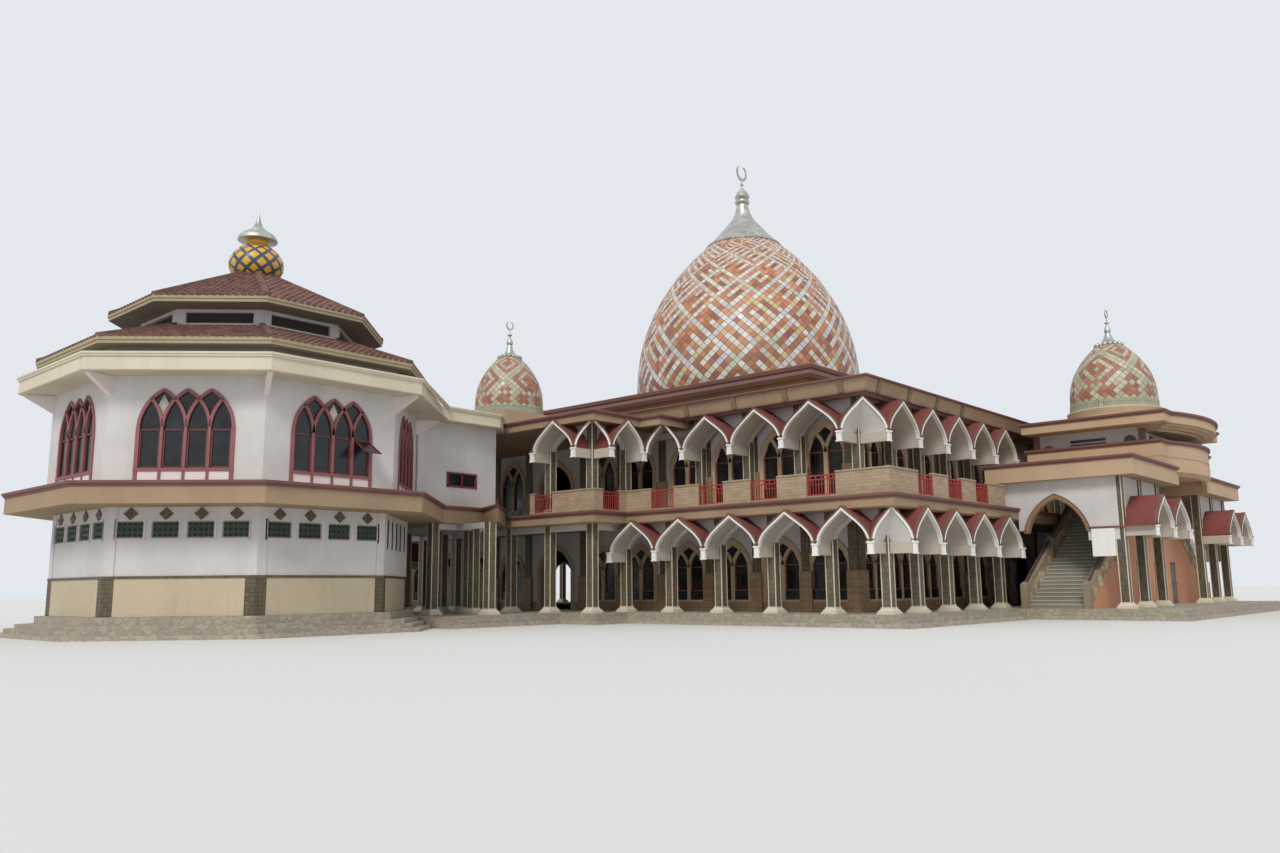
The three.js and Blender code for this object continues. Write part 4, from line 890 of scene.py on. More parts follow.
def arch_layer(width, level, into, out, y0, y1):
    """One layer of a canopy: the band between two lines parallel to its arch, cut off at its bay's sides."""
    low, spring, apex = level
    half = width / 2 - BRACKET_HALF
    outer, inner = (clipped(canopy_arc(-half - reach, half + reach, spring, apex + reach * 1.2),
        width / 2) for reach in (out, into))
    return upright(outer + inner[::-1], y0, y1)


def canopy(width, depth, level):
    """A pointed barrel canopy with its front at y = 0, looking to -y."""
    s = sizes()
    white = s.white_band
    tan = white + s.tan_band
    brown = tan + s.brown_edge
    layers = {"white_fronts": (0.0, white, -0.01, 0.16), "tan_fronts": (white, tan, 0.02, 0.15),
        "brown_edges": (tan, brown, -0.02, 0.14), "soffits": (0.02, white + 0.02, 0.16, depth),
        "roofs": (white + 0.02, brown - 0.015, 0.14, depth)}
    return {kind: [arch_layer(width, level, *layer)] for kind, layer in layers.items()}


def corner_vault(width, depth, level):
    """The pale vault under a corner canopy, drawn together from the front arch to the corner column."""
    low, spring, apex = level
    half = width / 2 - BRACKET_HALF
    foot = spring - 0.15
    outer = [(-half, foot), *canopy_arc(-half, half, spring, apex), (half, foot)]
    inner = [(0.05 - half, foot), *canopy_arc(-half + 0.05, half - 0.05, spring, apex - 0.07),
        (half - 0.05, foot)]
    shell = upright(outer + inner[::-1], 0.12, depth)
    for vertex in shell.data.vertices:
        if vertex.co.y > depth - 0.01:
            vertex.co.x *= 0.06
            vertex.co.z = foot + (vertex.co.z - foot) * 0.12
    return {"spandrels": [outward(shell)]}


def bracket(depth, level):
    """The white end block of a canopy's foot, with its beam, fillets and the gutter ledge in the valley."""
    low, spring, apex = level
    half, top = BRACKET_HALF, spring + 0.04
    end = block(-half, half, -0.03, 0.06, low, top)
    cap = block(-half - 0.03, half + 0.03, -0.06, 0.08, top - 0.06, top)
    foot = block(-half - 0.025, half + 0.025, -0.045, 0.07, low, low + 0.05)
    beam = block(0.02 - half, half - 0.02, 0.06, depth, low + 0.03, top)
    gutter = block(-0.11, 0.11, -0.06, 0.14, spring + 0.09, spring + 0.14)
    return {"brackets": [end, cap, foot], "beams": [beam], "brown_edges": [gutter]}


def spandrel(width, level, top, depth):
    """The wall above a canopy's arch, in the plane of the columns."""
    low, spring, apex = level
    half = width / 2
    inner = half - BRACKET_HALF
    arch = canopy_arc(-inner, inner, spring, min(apex, top - 0.17))
    outline = [(-half, spring)] + arch + [(half, spring), (half, top), (-half, top)]
    return {"spandrels": [upright(outline, depth - 0.1, depth + 0.1)]}


def column(z0, z1, base):
    """A square tiled column with cream strips at its corners and a stepped cream base."""
    half = COLUMN_HALF
    strip = sizes().strip_width / 2
    corner = half - strip + 0.012
    strips = [pillar(i * corner, j * corner, strip, z0, z1) for i in (-1, 1) for j in (-1, 1)]
    if base:
        levels = ((0.17, 0.0, 0.08), (0.13, 0.08, 0.13), (0.05, 0.2, 0.26))
        bases = [taper(0, 0, z0 + 0.13, z0 + 0.2, half + 0.12, half + 0.05)]
    else:
        levels = ((0.07, 0.0, 0.16),)
        bases = [taper(0, 0, z0 + 0.16, z0 + 0.24, half + 0.06, half + 0.02)]
    bases += [pillar(0, 0, half + out, z0 + low, z0 + high) for out, low, high in levels]
    return {"shafts": [pillar(0, 0, half, z0, z1)], "strips": strips, "bases": bases}


def gather_into(store, *sets):
    for parts in sets:
        for kind, made in parts.items():
            store.setdefault(kind, []).extend(made)
    return store


def moved(parts, place):
    """Copies of a set of parts under a placing matrix."""
    return {kind: [twin(part, place) for part in made] for kind, made in parts.items()}


def edge_place(a, b):
    """The place of a front drawn at y = 0, put on the edge from a to b with the building to its left."""
    angle = math.atan2(b[1] - a[1], b[0] - a[0])
    middle = ((a[0] + b[0]) / 2, (a[1] + b[1]) / 2, 0)
    return Matrix.Translation(middle) @ Matrix.Rotation(angle, 4, "Z")


def remove_parts(*sets):
    for parts in sets:
        for made in parts.values():
            discard(*made)


class Arcade:
    """Collects one corner's parts, sorted by finish."""

    def __init__(self):
        self.store = {}
        self.masters = {}

    def put(self, place, maker, *values):
        """A copy of what the maker makes from the values, which is made only once."""
        key = (maker, *values)
        if key not in self.masters:
            self.masters[key] = maker(*values)
        gather_into(self.store, moved(self.masters[key], place))

    def front(self, a, b, depth, level, top=None):
        """A canopy on the edge from a to b, with the spandrel behind it where `top` is given."""
        width, depth = round(math.dist(a, b), 6), round(depth, 6)
        self.put(edge_place(a, b), canopy, width, depth, level)
        if top:
            self.put(edge_place(a, b), spandrel, width, level, top, depth)

    def foot(self, a, b, at, depth, level):
        """A bracket on the edge from a to b, at a distance from a."""
        slide = Matrix.Translation((at - math.dist(a, b) / 2, 0, 0))
        self.put(edge_place(a, b) @ slide, bracket, round(depth, 6), level)

    def run(self, a, b, stations, depth, level, top=None):
        """Canopies and brackets between stations, measured from a towards b."""
        length = math.dist(a, b)
        along = ((b[0] - a[0]) / length, (b[1] - a[1]) / length)
        places = [(a[0] + along[0] * s, a[1] + along[1] * s) for s in stations]
        for one, two in zip(places, places[1:]):
            self.front(one, two, depth, level, top)
        for station in stations:
            self.foot(a, b, max(0.02, min(station, length - 0.02)), depth, level)

    def post(self, x, y, z0, z1, base=True):
        self.put(Matrix.Translation((x, y, 0)), column, z0, z1, base)

    def beam(self, x0, x1, y0, y1, z0, z1):
        self.add({"spandrels": [block(x0, x1, y0, y1, z0, z1)]})

    def add(self, parts):
        gather_into(self.store, parts)

    def close(self):
        """Gives up the collected parts and removes the masters."""
        remove_parts(*self.masters.values())
        return self.store


def corner_bay(c, f, level, post):
    """A corner column with its slanting canopy and vault; c is the columns' line and f the front's."""
    corner = Arcade()
    corner.post(c, -c, *post)
    depth = (f - c) / math.sqrt(2)
    corner.front((c, -f), (f, -c), depth, level)
    corner.put(edge_place((c, -f), (f, -c)), corner_vault, math.dist((c, -f), (f, -c)), depth, level)
    return corner.close()


DIAGONAL = Matrix(((0, -1, 0, 0), (-1, 0, 0, 0), (0, 0, 1, 0), (0, 0, 0, 1)))
FLIP_X = Matrix.Scale(-1, 4, (1, 0, 0))
FLIP_Y = Matrix.Scale(-1, 4, (0, 1, 0))
CORNER_PLACES = {"se": Matrix.Identity(4), "ne": FLIP_Y, "sw": FLIP_X, "nw": FLIP_X @ FLIP_Y}


def ground_half(with_arm):
    """Half of a ground-floor side, for the south side and x > 0."""
    half = Arcade()
    top = LEDGE_BOTTOM - 0.001
    stations = GROUND_STATIONS if with_arm else GROUND_STATIONS[1:]
    start = stations[0]
    run = [x - start for x in (*stations, COLUMN_LINE)]
    half.run((start, -GROUND_FRONT), (COLUMN_LINE, -GROUND_FRONT), run, GROUND_FRONT - COLUMN_LINE,
        GROUND_LEVEL, top)
    for x in stations:
        half.post(x, -COLUMN_LINE, FLOOR, top)
    if with_arm:
        for x in ARM_STATIONS:
            half.post(x, -ARM_LINE, FLOOR, top)
        half.beam(0, ARM_HALF + 0.15, -ARM_LINE - 0.15, -ARM_LINE + 0.15, top - 0.3, top)
        half.beam(ARM_HALF - 0.15, ARM_HALF + 0.15, -ARM_LINE, -COLUMN_LINE, top - 0.3, top)
    return half.close()


def upper_half(kind):
    """Half of an upper-floor side with its arm: joined to the link, plain, or at the entrance."""
    half = Arcade()
    top = EAVE_BOTTOM - 0.001
    arm_top = ARM_EAVE_BOTTOM - 0.001
    places = ENTRANCE_STATIONS if kind == "entrance" else UPPER_STATIONS
    first = places[0]
    run = [x - first for x in (*places, UPPER_LINE)]
    half.run((first, -UPPER_FRONT), (UPPER_LINE, -UPPER_FRONT), run, UPPER_FRONT - UPPER_LINE, UPPER_LEVEL,
        top)
    for x in places:
        half.post(x, -UPPER_LINE, LEDGE_TOP, top, False)
    if kind == "entrance":
        return half.close()
    side, inner, reach = ARM_SIDE_FRONT, COLUMN_LINE, ARM_FRONT - ARM_LINE
    half.post(ARM_HALF, -inner, LEDGE_TOP, arm_top, False)
    half.run((side, -ARM_LINE), (side, -inner), (0, ARM_LINE - inner), side - ARM_HALF, ARM_LEVEL, arm_top)
    half.front((ARM_HALF, -ARM_FRONT), (side, -ARM_LINE), reach / math.sqrt(2), ARM_LEVEL)
    half.front((side, -inner), (first, -UPPER_FRONT), 1.0, ARM_LEVEL)
    half.beam(ARM_HALF - 0.1, ARM_HALF + 0.1, -inner, -UPPER_LINE, arm_top - 0.3, arm_top)
    half.beam(ARM_HALF - 0.1, first, -UPPER_LINE - 0.1, -UPPER_LINE + 0.1, arm_top - 0.3, arm_top)
    stations = ARM_STATIONS[1:] if kind == "link" else ARM_STATIONS
    start = stations[0]
    front = [x - start for x in stations]
    half.run((start, -ARM_FRONT), (ARM_HALF, -ARM_FRONT), front, reach, ARM_LEVEL, arm_top)
    for x in stations:
        half.post(x, -ARM_LINE, LEDGE_TOP, arm_top, False)
    return half.close()


def middle_bay():
    """The wide canopy in the middle of an arm that has no link."""
    middle = Arcade()
    x = ARM_STATIONS[0]
    middle.front((-x, -ARM_FRONT), (x, -ARM_FRONT), ARM_FRONT - ARM_LINE, ARM_LEVEL,
        ARM_EAVE_BOTTOM - 0.001)
    return middle.close()


def lay_corner(node, south, east, corner, extra=()):
    """Joins one corner's parts into pieces by finish, which stand for the corner's node."""
    place = CORNER_PLACES[node[-2:]]
    store = gather_into({}, moved(south, place), moved(east, place @ DIAGONAL), moved(corner, place))
    for parts, turn in extra:
        gather_into(store, moved(parts, turn))
    for kind, material in ARCADE_FINISHES.items():
        finish(f"{node}_{kind}", store[kind], material, [node])


def lay_ground_arcades():
    with_arm, without = ground_half(True), ground_half(False)
    corner = corner_bay(COLUMN_LINE, GROUND_FRONT, GROUND_LEVEL, (FLOOR, LEDGE_BOTTOM - 0.001))
    for name in CORNERS:
        lay_corner(f"ground_arcade_{name}", with_arm, without if name[1] == "e" else with_arm, corner)
    remove_parts(with_arm, without, corner)


def lay_upper_arcades():
    linked, plain, entrance = (upper_half(kind) for kind in ("link", "plain", "entrance"))
    corner = corner_bay(UPPER_LINE, UPPER_FRONT, UPPER_LEVEL, (LEDGE_TOP, EAVE_BOTTOM - 0.001, False))
    middle = middle_bay()
    half_turn, quarter_back = Matrix.Rotation(math.pi, 4, "Z"), Matrix.Rotation(-math.pi / 2, 4, "Z")
    extras = {"nw": [(middle, half_turn)], "sw": [(middle, quarter_back)]}
    for name in CORNERS:
        south = linked if name[0] == "s" else plain
        east = entrance if name[1] == "e" else plain
        lay_corner(f"upper_arcade_{name}", south, east, corner, extras.get(name, ()))
    remove_parts(linked, plain, entrance, corner, middle)


# Domes and finials


MAIN_DOME = {"base": (7.2, FLOOR + 13.2), "widest": (7.5, FLOOR + 14.0), "top": (2.1, FLOOR + 24.6)}
DOME_SWELL = 2.2
DOME_SHOULDER = 0.93
DRUM_RADIUS = 7.3
SMALL_DOMES = {
    "south": (0.0, -21.32, FLOOR + 9.75, 1.74, FLOOR + 12.97),
    "west": (-21.32, 0.0, FLOOR + 9.75, 1.74, FLOOR + 12.97),
    "north": (0.0, 21.32, FLOOR + 9.75, 1.74, FLOOR + 12.97),
    "east": (23.24, 0.0, FLOOR + 9.45, 2.1, FLOOR + 13.45),
}
BAND_HEIGHT = 0.43
RING_LIFT = 0.4


def dome_line(widest, top, steps):
    """A dome's outline from its widest ring up to the ring that carries its cap."""
    points = []
    for i in range(steps + 1):
        t = i / steps
        swell = (1 - t ** DOME_SWELL) ** DOME_SHOULDER
        points.append((top[0] + (widest[0] - top[0]) * swell, widest[1] + (top[1] - widest[1]) * t))
    return points


def wrap_round(obj, x, y, line, count):
    """A UV map round an upright axis whose cells keep their shape as the radius changes."""
    rise = [0.0]
    for (r0, z0), (r1, z1) in zip(line, line[1:]):
        rise.append(rise[-1] + math.hypot(r1 - r0, z1 - z0) / max(0.05, (r0 + r1) / 2))
    while obj.data.uv_layers:
        obj.data.uv_layers.remove(obj.data.uv_layers[0])
    layer = obj.data.uv_layers.new(name="UVMap")
    cells = count / (2 * math.pi)
    for face in obj.data.polygons:
        middle = math.atan2(face.center.y - y, face.center.x - x)
        for loop in face.loop_indices:
            corner = obj.data.vertices[obj.data.loops[loop].vertex_index].co
            angle = math.atan2(corner.y - y, corner.x - x)
            angle += 2 * math.pi * round((middle - angle) / (2 * math.pi))
            height = min(max(corner.z, line[0][1]), line[-1][1])
            i = max(k for k in range(len(line) - 1) if line[k][1] <= height or k == 0)
            share = (height - line[i][1]) / (line[i + 1][1] - line[i][1])
            layer.data[loop].uv = (cells * angle, cells * (rise[i] + (rise[i + 1] - rise[i]) * share))
    return obj


def crescent(x, y, z, radius, thick):
    """A plain upright crescent with its horns up."""
    rims = []
    for scale, lift, start in ((1.0, 0.0, 62), (0.8, 0.12, 64)):
        angles = [math.radians(start - (180 + 2 * start) * i / 20) for i in range(21)]
        rims.append([(x - thick, y + radius * scale * math.cos(a),
            z + radius * (lift + scale * math.sin(a))) for a in angles])
    return prism(rims[0] + rims[1][::-1], (2 * thick, 0, 0))


def lay_main_dome():
    top, base = MAIN_DOME["top"], MAIN_DOME["base"]
    line = dome_line(MAIN_DOME["widest"], top, 44)
    inside = [(r - 0.25, z) for r, z in line[::6]]
    shell = lathe([base, *line, (top[0] - 0.3, top[1]), *inside[-2::-1], (base[0] - 0.25, base[1])], 96)
    wrap_round(shell, 0, 0, [base, *line], sizes().dome_tiles_round)
    finish("main_dome_tiles", [shell], "main_dome", ["main_dome"], smooth=True)


def lay_drum():
    drum = lathe([(-0.1, 0), (0.25, 0), (0.25, 0.16), (0.06, 0.24), (0.04, 0.9), (0.14, 0.98), (0.14, 1.14),
        (0, 1.22), (-0.1, 1.22)], 96, z=ATTIC_ROOF_TOP, r=DRUM_RADIUS)
    finish("drum_ring", [drum], "dome_ring", smooth=True)


def lay_small_domes():
    for side, (x, y, base, r, top) in SMALL_DOMES.items():
        lift = RING_LIFT if side == "east" else 0.0
        foot = base + lift
        band_top = foot + BAND_HEIGHT
        line = [(r + 0.01, band_top), *dome_line((r, foot + 0.65), (0.2 * r + 0.15, top), 24)]
        inside = [(radius - 0.18, z) for radius, z in reversed(line[1::5])]
        shell = lathe([*line, *inside[1:], (r - 0.18, band_top)], 48, x, y)
        wrap_round(shell, x, y, line, sizes().small_dome_tiles)
        finish(f"{side}_dome_tiles", [shell], "small_dome", [f"{side}_dome"], smooth=True)
        band = lathe([(0.04, 0), (0.03, BAND_HEIGHT), (-0.1, BAND_HEIGHT), (-0.1, 0)], 48, x, y, foot, r)
        finish(f"{side}_dome_band", [band], "tall_tiles", smooth=True)
        ring = lathe([(-0.1, -0.6 - lift), (0.05, -0.6 - lift), (0.08, -0.36), (0.16, -0.16), (0.2, -0.04),
            (0.17, 0.02), (0.06, 0.06), (-0.1, 0.06)], 48, x, y, foot, r)
        finish(f"{side}_dome_ring", [ring], "dome_ring", smooth=True)


def lay_main_finial():
    z = MAIN_DOME["top"][1]
    pole = lathe([(0, -0.3), (2.56, -0.38), (2.64, -0.32), (2.6, -0.24), (2.3, 0.0), (1.74, 0.6),
        (1.34, 1.08), (1.04, 1.43), (0.8, 1.72), (0.68, 1.95), (0.54, 2.25), (0.45, 2.58), (0.38, 2.9),
        (0.48, 2.96), (0.52, 3.06), (0.5, 3.18), (0.4, 3.26), (0.46, 3.34), (0.52, 3.46), (0.42, 3.72),
        (0.26, 3.92), (0.12, 4.1), (0.04, 4.24), (0.04, 4.28), (0.1, 4.32), (0.13, 4.4), (0.1, 4.48),
        (0.04, 4.52), (0.03, 4.72), (0, 4.72)], 40, z=z)
    moon = crescent(0, 0, z + 5.26, 0.58, 0.045)
    finish("main_dome_cap", [pole, moon], "silver", ["main_dome_finial"], smooth=True)


def lay_small_finials():
    for side, (x, y, base, r, top) in SMALL_DOMES.items():
        k = r / 2.1
        rim = 0.2 * r + 0.15
        pole = lathe([(0, 0), (rim + 0.02, 0), (rim + 0.06, 0.04), (rim, 0.1), (0.34 * k, 0.2),
            (0.22 * k, 0.4), (0.14, 0.6), (0.12, 0.66), (0.16, 0.72), (0.17, 0.8), (0.13, 0.94),
            (0.06, 1.08), (0.04, 1.14), (0.12, 1.19), (0.12, 1.23), (0.04, 1.27), (0.025, 1.5), (0, 1.5)],
            28, x, y, top)
        parts = [pole, crescent(x, y, top + 1.72, 0.24, 0.025)]
        for angle in (math.pi * i / 8 for i in range(16)):
            place = (x + (rim + 0.06) * math.cos(angle), y + (rim + 0.06) * math.sin(angle), top - 0.02)
            clear_selection()
            bpy.ops.mesh.primitive_uv_sphere_add(segments=8, ring_count=6, radius=0.095 * k + 0.02,
                location=place)
            parts.append(applied())
        finish(f"{side}_dome_cap", parts, "silver", [f"{side}_dome_finial"], smooth=True)


# Ledges, eaves and mouldings


def hall_outline(half, arm, arm_half):
    """The hall's square with its south, north and west arms, anticlockwise."""
    a = arm_half
    return [(-half, -half), (-a, -half), (-a, -arm), (a, -arm), (a, -half), (half, -half), (half, half),
        (a, half), (a, arm), (-a, arm), (-a, half), (-half, half), (-half, a), (-arm, a), (-arm, -a),
        (-half, -a)]


def square(half):
    return [(-half, -half), (half, -half), (half, half), (-half, half)]


def ledge_steps(outline, top):
    """The maroon two-step moulding along the top of a fascia."""
    return [moulding(outline, top, [(-0.02, -0.17), (0.045, -0.17), (0.06, -0.09), (-0.02, -0.09)]),
        moulding(outline, top, [(-0.02, -0.09), (0.11, -0.09), (0.12, -0.01), (0.1, 0.012),
        (-0.02, 0.012)])]


def lay_ledge():
    outline = hall_outline(LEDGE_HALF, ARM_LEDGE, ARM_LEDGE_HALF)
    finish("ledge_moulding", ledge_steps(outline, LEDGE_TOP), "maroon")
    drip = moulding(outline, LEDGE_BOTTOM, [(-0.3, -0.05), (-0.1, -0.05), (0.02, 0.02), (0.02, 0.07),
        (-0.3, 0.07)])
    finish("ledge_drip", [drip], "stucco")


def lay_main_eave():
    """The main eave's cap, sloping fascia and step, with ribs over the canopies' valleys."""
    outline = square(EAVE_HALF)
    cap = moulding(outline, EAVE_TOP, [(-0.02, -0.07), (0.3, -0.07), (0.33, -0.01), (0.28, 0.03),
        (-0.02, 0.03)])
    finish("main_eave_moulding", [cap], "maroon")
    fascia = moulding(outline, EAVE_BOTTOM, [(-0.02, 0.0), (0.03, 0.0), (0.2, 0.54), (-0.02, 0.54)])
    finish("main_eave_fascia", [fascia], "stucco")
    under = moulding(outline, EAVE_BOTTOM, [(-0.4, -0.14), (-0.22, -0.14), (-0.1, -0.02), (0.05, -0.02),
        (0.05, 0.05), (-0.4, 0.05)])
    finish("main_eave_step", [under], "dark_edge")
    z0, z1, front = EAVE_BOTTOM + 0.02, EAVE_TOP - 0.06, -EAVE_HALF
    ribs = []
    for x in (10.2, 12.9, 15.6, 18.3):
        for west in (-x - 0.13, x - 0.13):
            outline = [(west, front, z0), (west, front - 0.1, z0), (west, front - 0.27, z1),
                (west, front, z1)]
            ribs.append(prism(outline, (0.26, 0, 0)))
    finish_round("main_eave_ribs", ribs, "rib")


def arm_outline():
    """One arm's eave on the south side, from the hall out and back."""
    return [(-ARM_STEP_HALF, -ARM_STEP), (-ARM_EAVE_HALF, -ARM_STEP), (-ARM_EAVE_HALF, -ARM_EAVE),
        (ARM_EAVE_HALF, -ARM_EAVE), (ARM_EAVE_HALF, -ARM_STEP), (ARM_STEP_HALF, -ARM_STEP),
        (ARM_STEP_HALF, -WALL_LINE - 0.3), (-ARM_STEP_HALF, -WALL_LINE - 0.3)]


def lay_arm_eaves():
    parts = ledge_steps(arm_outline(), ARM_EAVE_TOP)
    made = [duplicate(part, turn=turn) for part in parts for turn in (0, math.pi, -math.pi / 2)]
    discard(*parts)
    finish("arm_eave_moulding", made, "maroon")


def lay_attic():
    outline = square(ATTIC_ROOF_HALF)
    upper = moulding(outline, ATTIC_ROOF_TOP, [(-0.02, -0.2), (0.1, -0.2), (0.14, -0.03), (0.1, 0.01),
        (-0.02, 0.01)])
    finish("attic_edge", [upper], "maroon")
    lower = moulding(outline, ATTIC_TOP, [(-0.3, -0.12), (-0.12, -0.12), (0.05, 0.04), (0.05, 0.2),
        (-0.3, 0.2)])
    finish("attic_step", [lower], "dark_edge")
    foot = moulding(square(ATTIC_HALF), EAVE_TOP,
        [(-0.02, 0), (0.3, 0), (0.26, 0.16), (0.04, 0.26), (-0.02, 0.26)])
    finish("attic_foot", [foot], "stucco")


# Hall windows and wall trim


def ribbon(points, width, y0, y1):
    """A flat bar along a line of (x, z) points."""
    left, right = [], []
    for i, here in enumerate(points):
        before = points[max(0, i - 1)]
        after = points[min(len(points) - 1, i + 1)]
        length = math.dist(before, after)
        normal = ((before[1] - after[1]) / length, (after[0] - before[0]) / length)
        left.append((here[0] + normal[0] * width / 2, here[1] + normal[1] * width / 2))
        right.append((here[0] - normal[0] * width / 2, here[1] - normal[1] * width / 2))
    return upright(left + right[::-1], y0, y1)


def rising_arc(x0, x1, spring, apex, stop):
    """The left half of a pointed arch over x0 to x1, from its foot until it reaches `stop` across."""
    steps = 9
    line = pointed_arc(min(x0, x1), max(x0, x1), spring, apex, steps=steps)[:steps + 1]
    if x1 < x0:
        line = [(x0 + x1 - x, z) for x, z in line]
    kept = [line[0]]
    for here, after in zip(line, line[1:]):
        if abs(after[0] - x0) > stop:
            share = (stop - abs(here[0] - x0)) / abs(after[0] - here[0])
            kept.append((here[0] + (after[0] - here[0]) * share, here[1] + (after[1] - here[1]) * share))
            break
        kept.append(after)
    return kept


def lancet_pair(half, sill, spring, apex):
    """Twin lancets at y = 0: the stone mullion with its two branches, and the wooden frame of each light."""
    bar, stone = sizes().frame_width, 0.2
    front, back = 0.04, 0.1
    mullion = [block(-stone / 2, stone / 2, -0.03, 0.12, sill, spring + 0.05)]
    frame = [arch_band(half, spring, apex, 0.0, bar, front, back, spring - sill)]
    for side in (-1, 1):
        mullion.append(ribbon(rising_arc(0, side * 2 * half, spring, apex, half / 2), stone * 0.75, -0.03,
            0.12))
        inner, outer = sorted((side * stone / 2, side * half))
        post = side * (stone / 2 + bar / 2)
        frame += [block(inner, outer, -0.02, back, sill, sill + bar),
            block(inner, outer, front, back, spring - bar / 2, spring + bar / 2),
            block(post - bar / 2, post + bar / 2, front, back, sill, spring + 0.1)]
    return frame, mullion


def pane(half, sill, spring, apex, y0=0.085, y1=0.095):
    return upright([(-half, sill)] + pointed_arc(-half, half, spring, apex) + [(half, sill)], y0, y1)


def storey_windows(z0, sill, spring, rise):
    """One storey's windows, drawn for the south side: frames, panes and surrounds."""
    half = 0.85
    foot, low, high = z0 + SILL, z0 + sill, z0 + spring
    apex = high + rise
    band = sizes().surround_width
    frame, mullion = lancet_pair(half, low, high, apex)
    # The glass block from the foot to the sill is a dark sheet: painted shade of the opening below the
    # lights.
    glass = [pane(half - 0.01, low + 0.01, high, apex - 0.01), block(-half, half, -0.012, 0.0, foot, low)]
    surround = [arch_band(half, high, apex, band, 0.0, -0.05, 0.02, spring - SILL),
        block(-0.1, 0.1, -0.03, 0.0, foot, low),
        arch_band(half + band * 0.55, high, apex + band * 0.7, band * 0.5, 0.0, -0.08, 0.0),
        block(-half - band, half + band, -0.07, 0.0, foot - 0.1, foot), *mullion]
    made = {"frames": frame, "glass": glass, "surrounds": surround}
    places = [Matrix.Translation((side * x, -WALL_LINE, 0)) for x in WINDOW_PLACES for side in (-1, 1)]
    row = gather_into({}, *(moved(made, place) for place in places))
    remove_parts(made)
    return row


def doorway_surround(z0):
    """The band round the doorway in the middle of a side."""
    band = 0.2
    half = DOORWAY_HALF
    parts = [arch_band(half, z0 + 2.1, z0 + 3.2, band, 0.0, -0.06, 0.02, 2.08),
        arch_band(half - 0.06, z0 + 2.1, z0 + 3.14, 0.06, 0.02, -0.02, 0.16, 2.08)]
    made = [duplicate(part, 0, -WALL_LINE) for part in parts]
    discard(*parts)
    return made


def lay_hall_windows():
    storeys = {"ground": (FLOOR, 0.9, 2.0, 0.95), "upper": (LEDGE_TOP, 0.9, 2.3, 1.1)}
    for storey, levels in storeys.items():
        made = storey_windows(*levels)
        made["surrounds"] += doorway_surround(levels[0])
        for kind, material in (("frames", "frame_red"), ("glass", "glass"), ("surrounds", "stone_frame")):
            finish_round(f"{storey}_window_{kind}", made[kind], material)


def lay_wall_trim():
    """Tiled dado and half columns on the hall's walls."""
    line = -WALL_LINE
    for storey, z0, height in (("ground", FLOOR, LEDGE_BOTTOM), ("upper", LEDGE_TOP, EAVE_BOTTOM)):
        dado, shafts = [], []
        pier, edge = z0 + 1.7, z0 + SILL - 0.14
        for side in (-1, 1):
            x0, x1 = sorted((side * (DOORWAY_HALF + 0.3), side * (WALL_LINE - 0.02)))
            dado.append(block(x0, x1, line - 0.035, line, z0 + 0.01, edge))
            dado.append(block(x0, x1, line - 0.06, line, edge, edge + 0.04))
            for x in (side * place for place in (2.1, 4.75, 7.5, 10.25, 12.9, 15.45, 17.75)):
                shafts.append(block(x - 0.2, x + 0.2, line - 0.1, line, pier, height - 0.01))
                dado.append(block(x - 0.3, x + 0.3, line - 0.16, line, z0 + 0.01, pier))
        finish_round(f"{storey}_dado", dado, "dado")
        finish_round(f"{storey}_half_columns", shafts, "column_tile")


# Parapets of the ledge


def rail_bay(width, height):
    """A railing between two panels: posts, a double top rail with square holes, and pickets."""
    half = width / 2
    low, high = 0.12, height - 0.08
    rails = ((0.03, high - 0.05, high), (0.025, high - 0.2, high - 0.16), (0.025, low, low + 0.04))
    parts = [block(-half, half, -thick, thick, z0, z1) for thick, z0, z1 in rails]
    parts += [pillar(x, 0, 0.035, 0.0, high + 0.06) for x in (-half, half)]
    count = max(2, round(width / sizes().picket_gap))
    for i in range(1, count):
        x = -half + width * i / count
        parts.append(pillar(x, 0, 0.014, low + 0.04, high - 0.18))
        if i % 2:
            parts.append(pillar(x, 0, 0.02, high - 0.17, high - 0.04))
    return parts


def parapet_run(a, b, bays, store):
    """Stone-tiled panels with copings from a to b, with railings in the bays, which are spans from a."""
    length = math.dist(a, b)
    height, thick = PARAPET
    place = edge_place(a, b) @ Matrix.Translation((-length / 2, 0, LEDGE_TOP))
    start = 0.0
    panels, rails = [], []
    for u0, u1 in (*bays, (length, length)):
        if u0 - start > 0.02:
            for out, z0, z1 in ((0, 0.001, height - 0.05), (0.035, height - 0.05, height + 0.02),
                    (0.02, 0.001, 0.12)):
                panels.append(block(start, u0, -out, thick + out, z0, z1))
        if u1 > u0:
            panels.append(block(u0, u1, 0.0, thick, 0.001, 0.1))
            for part in rail_bay(u1 - u0, height):
                part.data.transform(Matrix.Translation(((u0 + u1) / 2, thick / 2, 0)))
                rails.append(part)
        start = u1
    for part in panels + rails:
        part.data.transform(place)
    gather_into(store, {"panels": panels, "rails": rails})


def parapet_corner(x, y):
    """The block that closes an outward corner at (x, y) on the south-east side, with its coping and foot."""
    bottom, top = LEDGE_TOP + 0.002, LEDGE_TOP + PARAPET[0]
    rows = ((0.13, 0.012, bottom, top - 0.04), (0.17, 0.048, top - 0.055, top + 0.026),
        (0.15, 0.032, bottom, bottom + 0.124))
    return [block(x - back, x + out, y - out, y + back, z0, z1) for back, out, z0, z1 in rows]


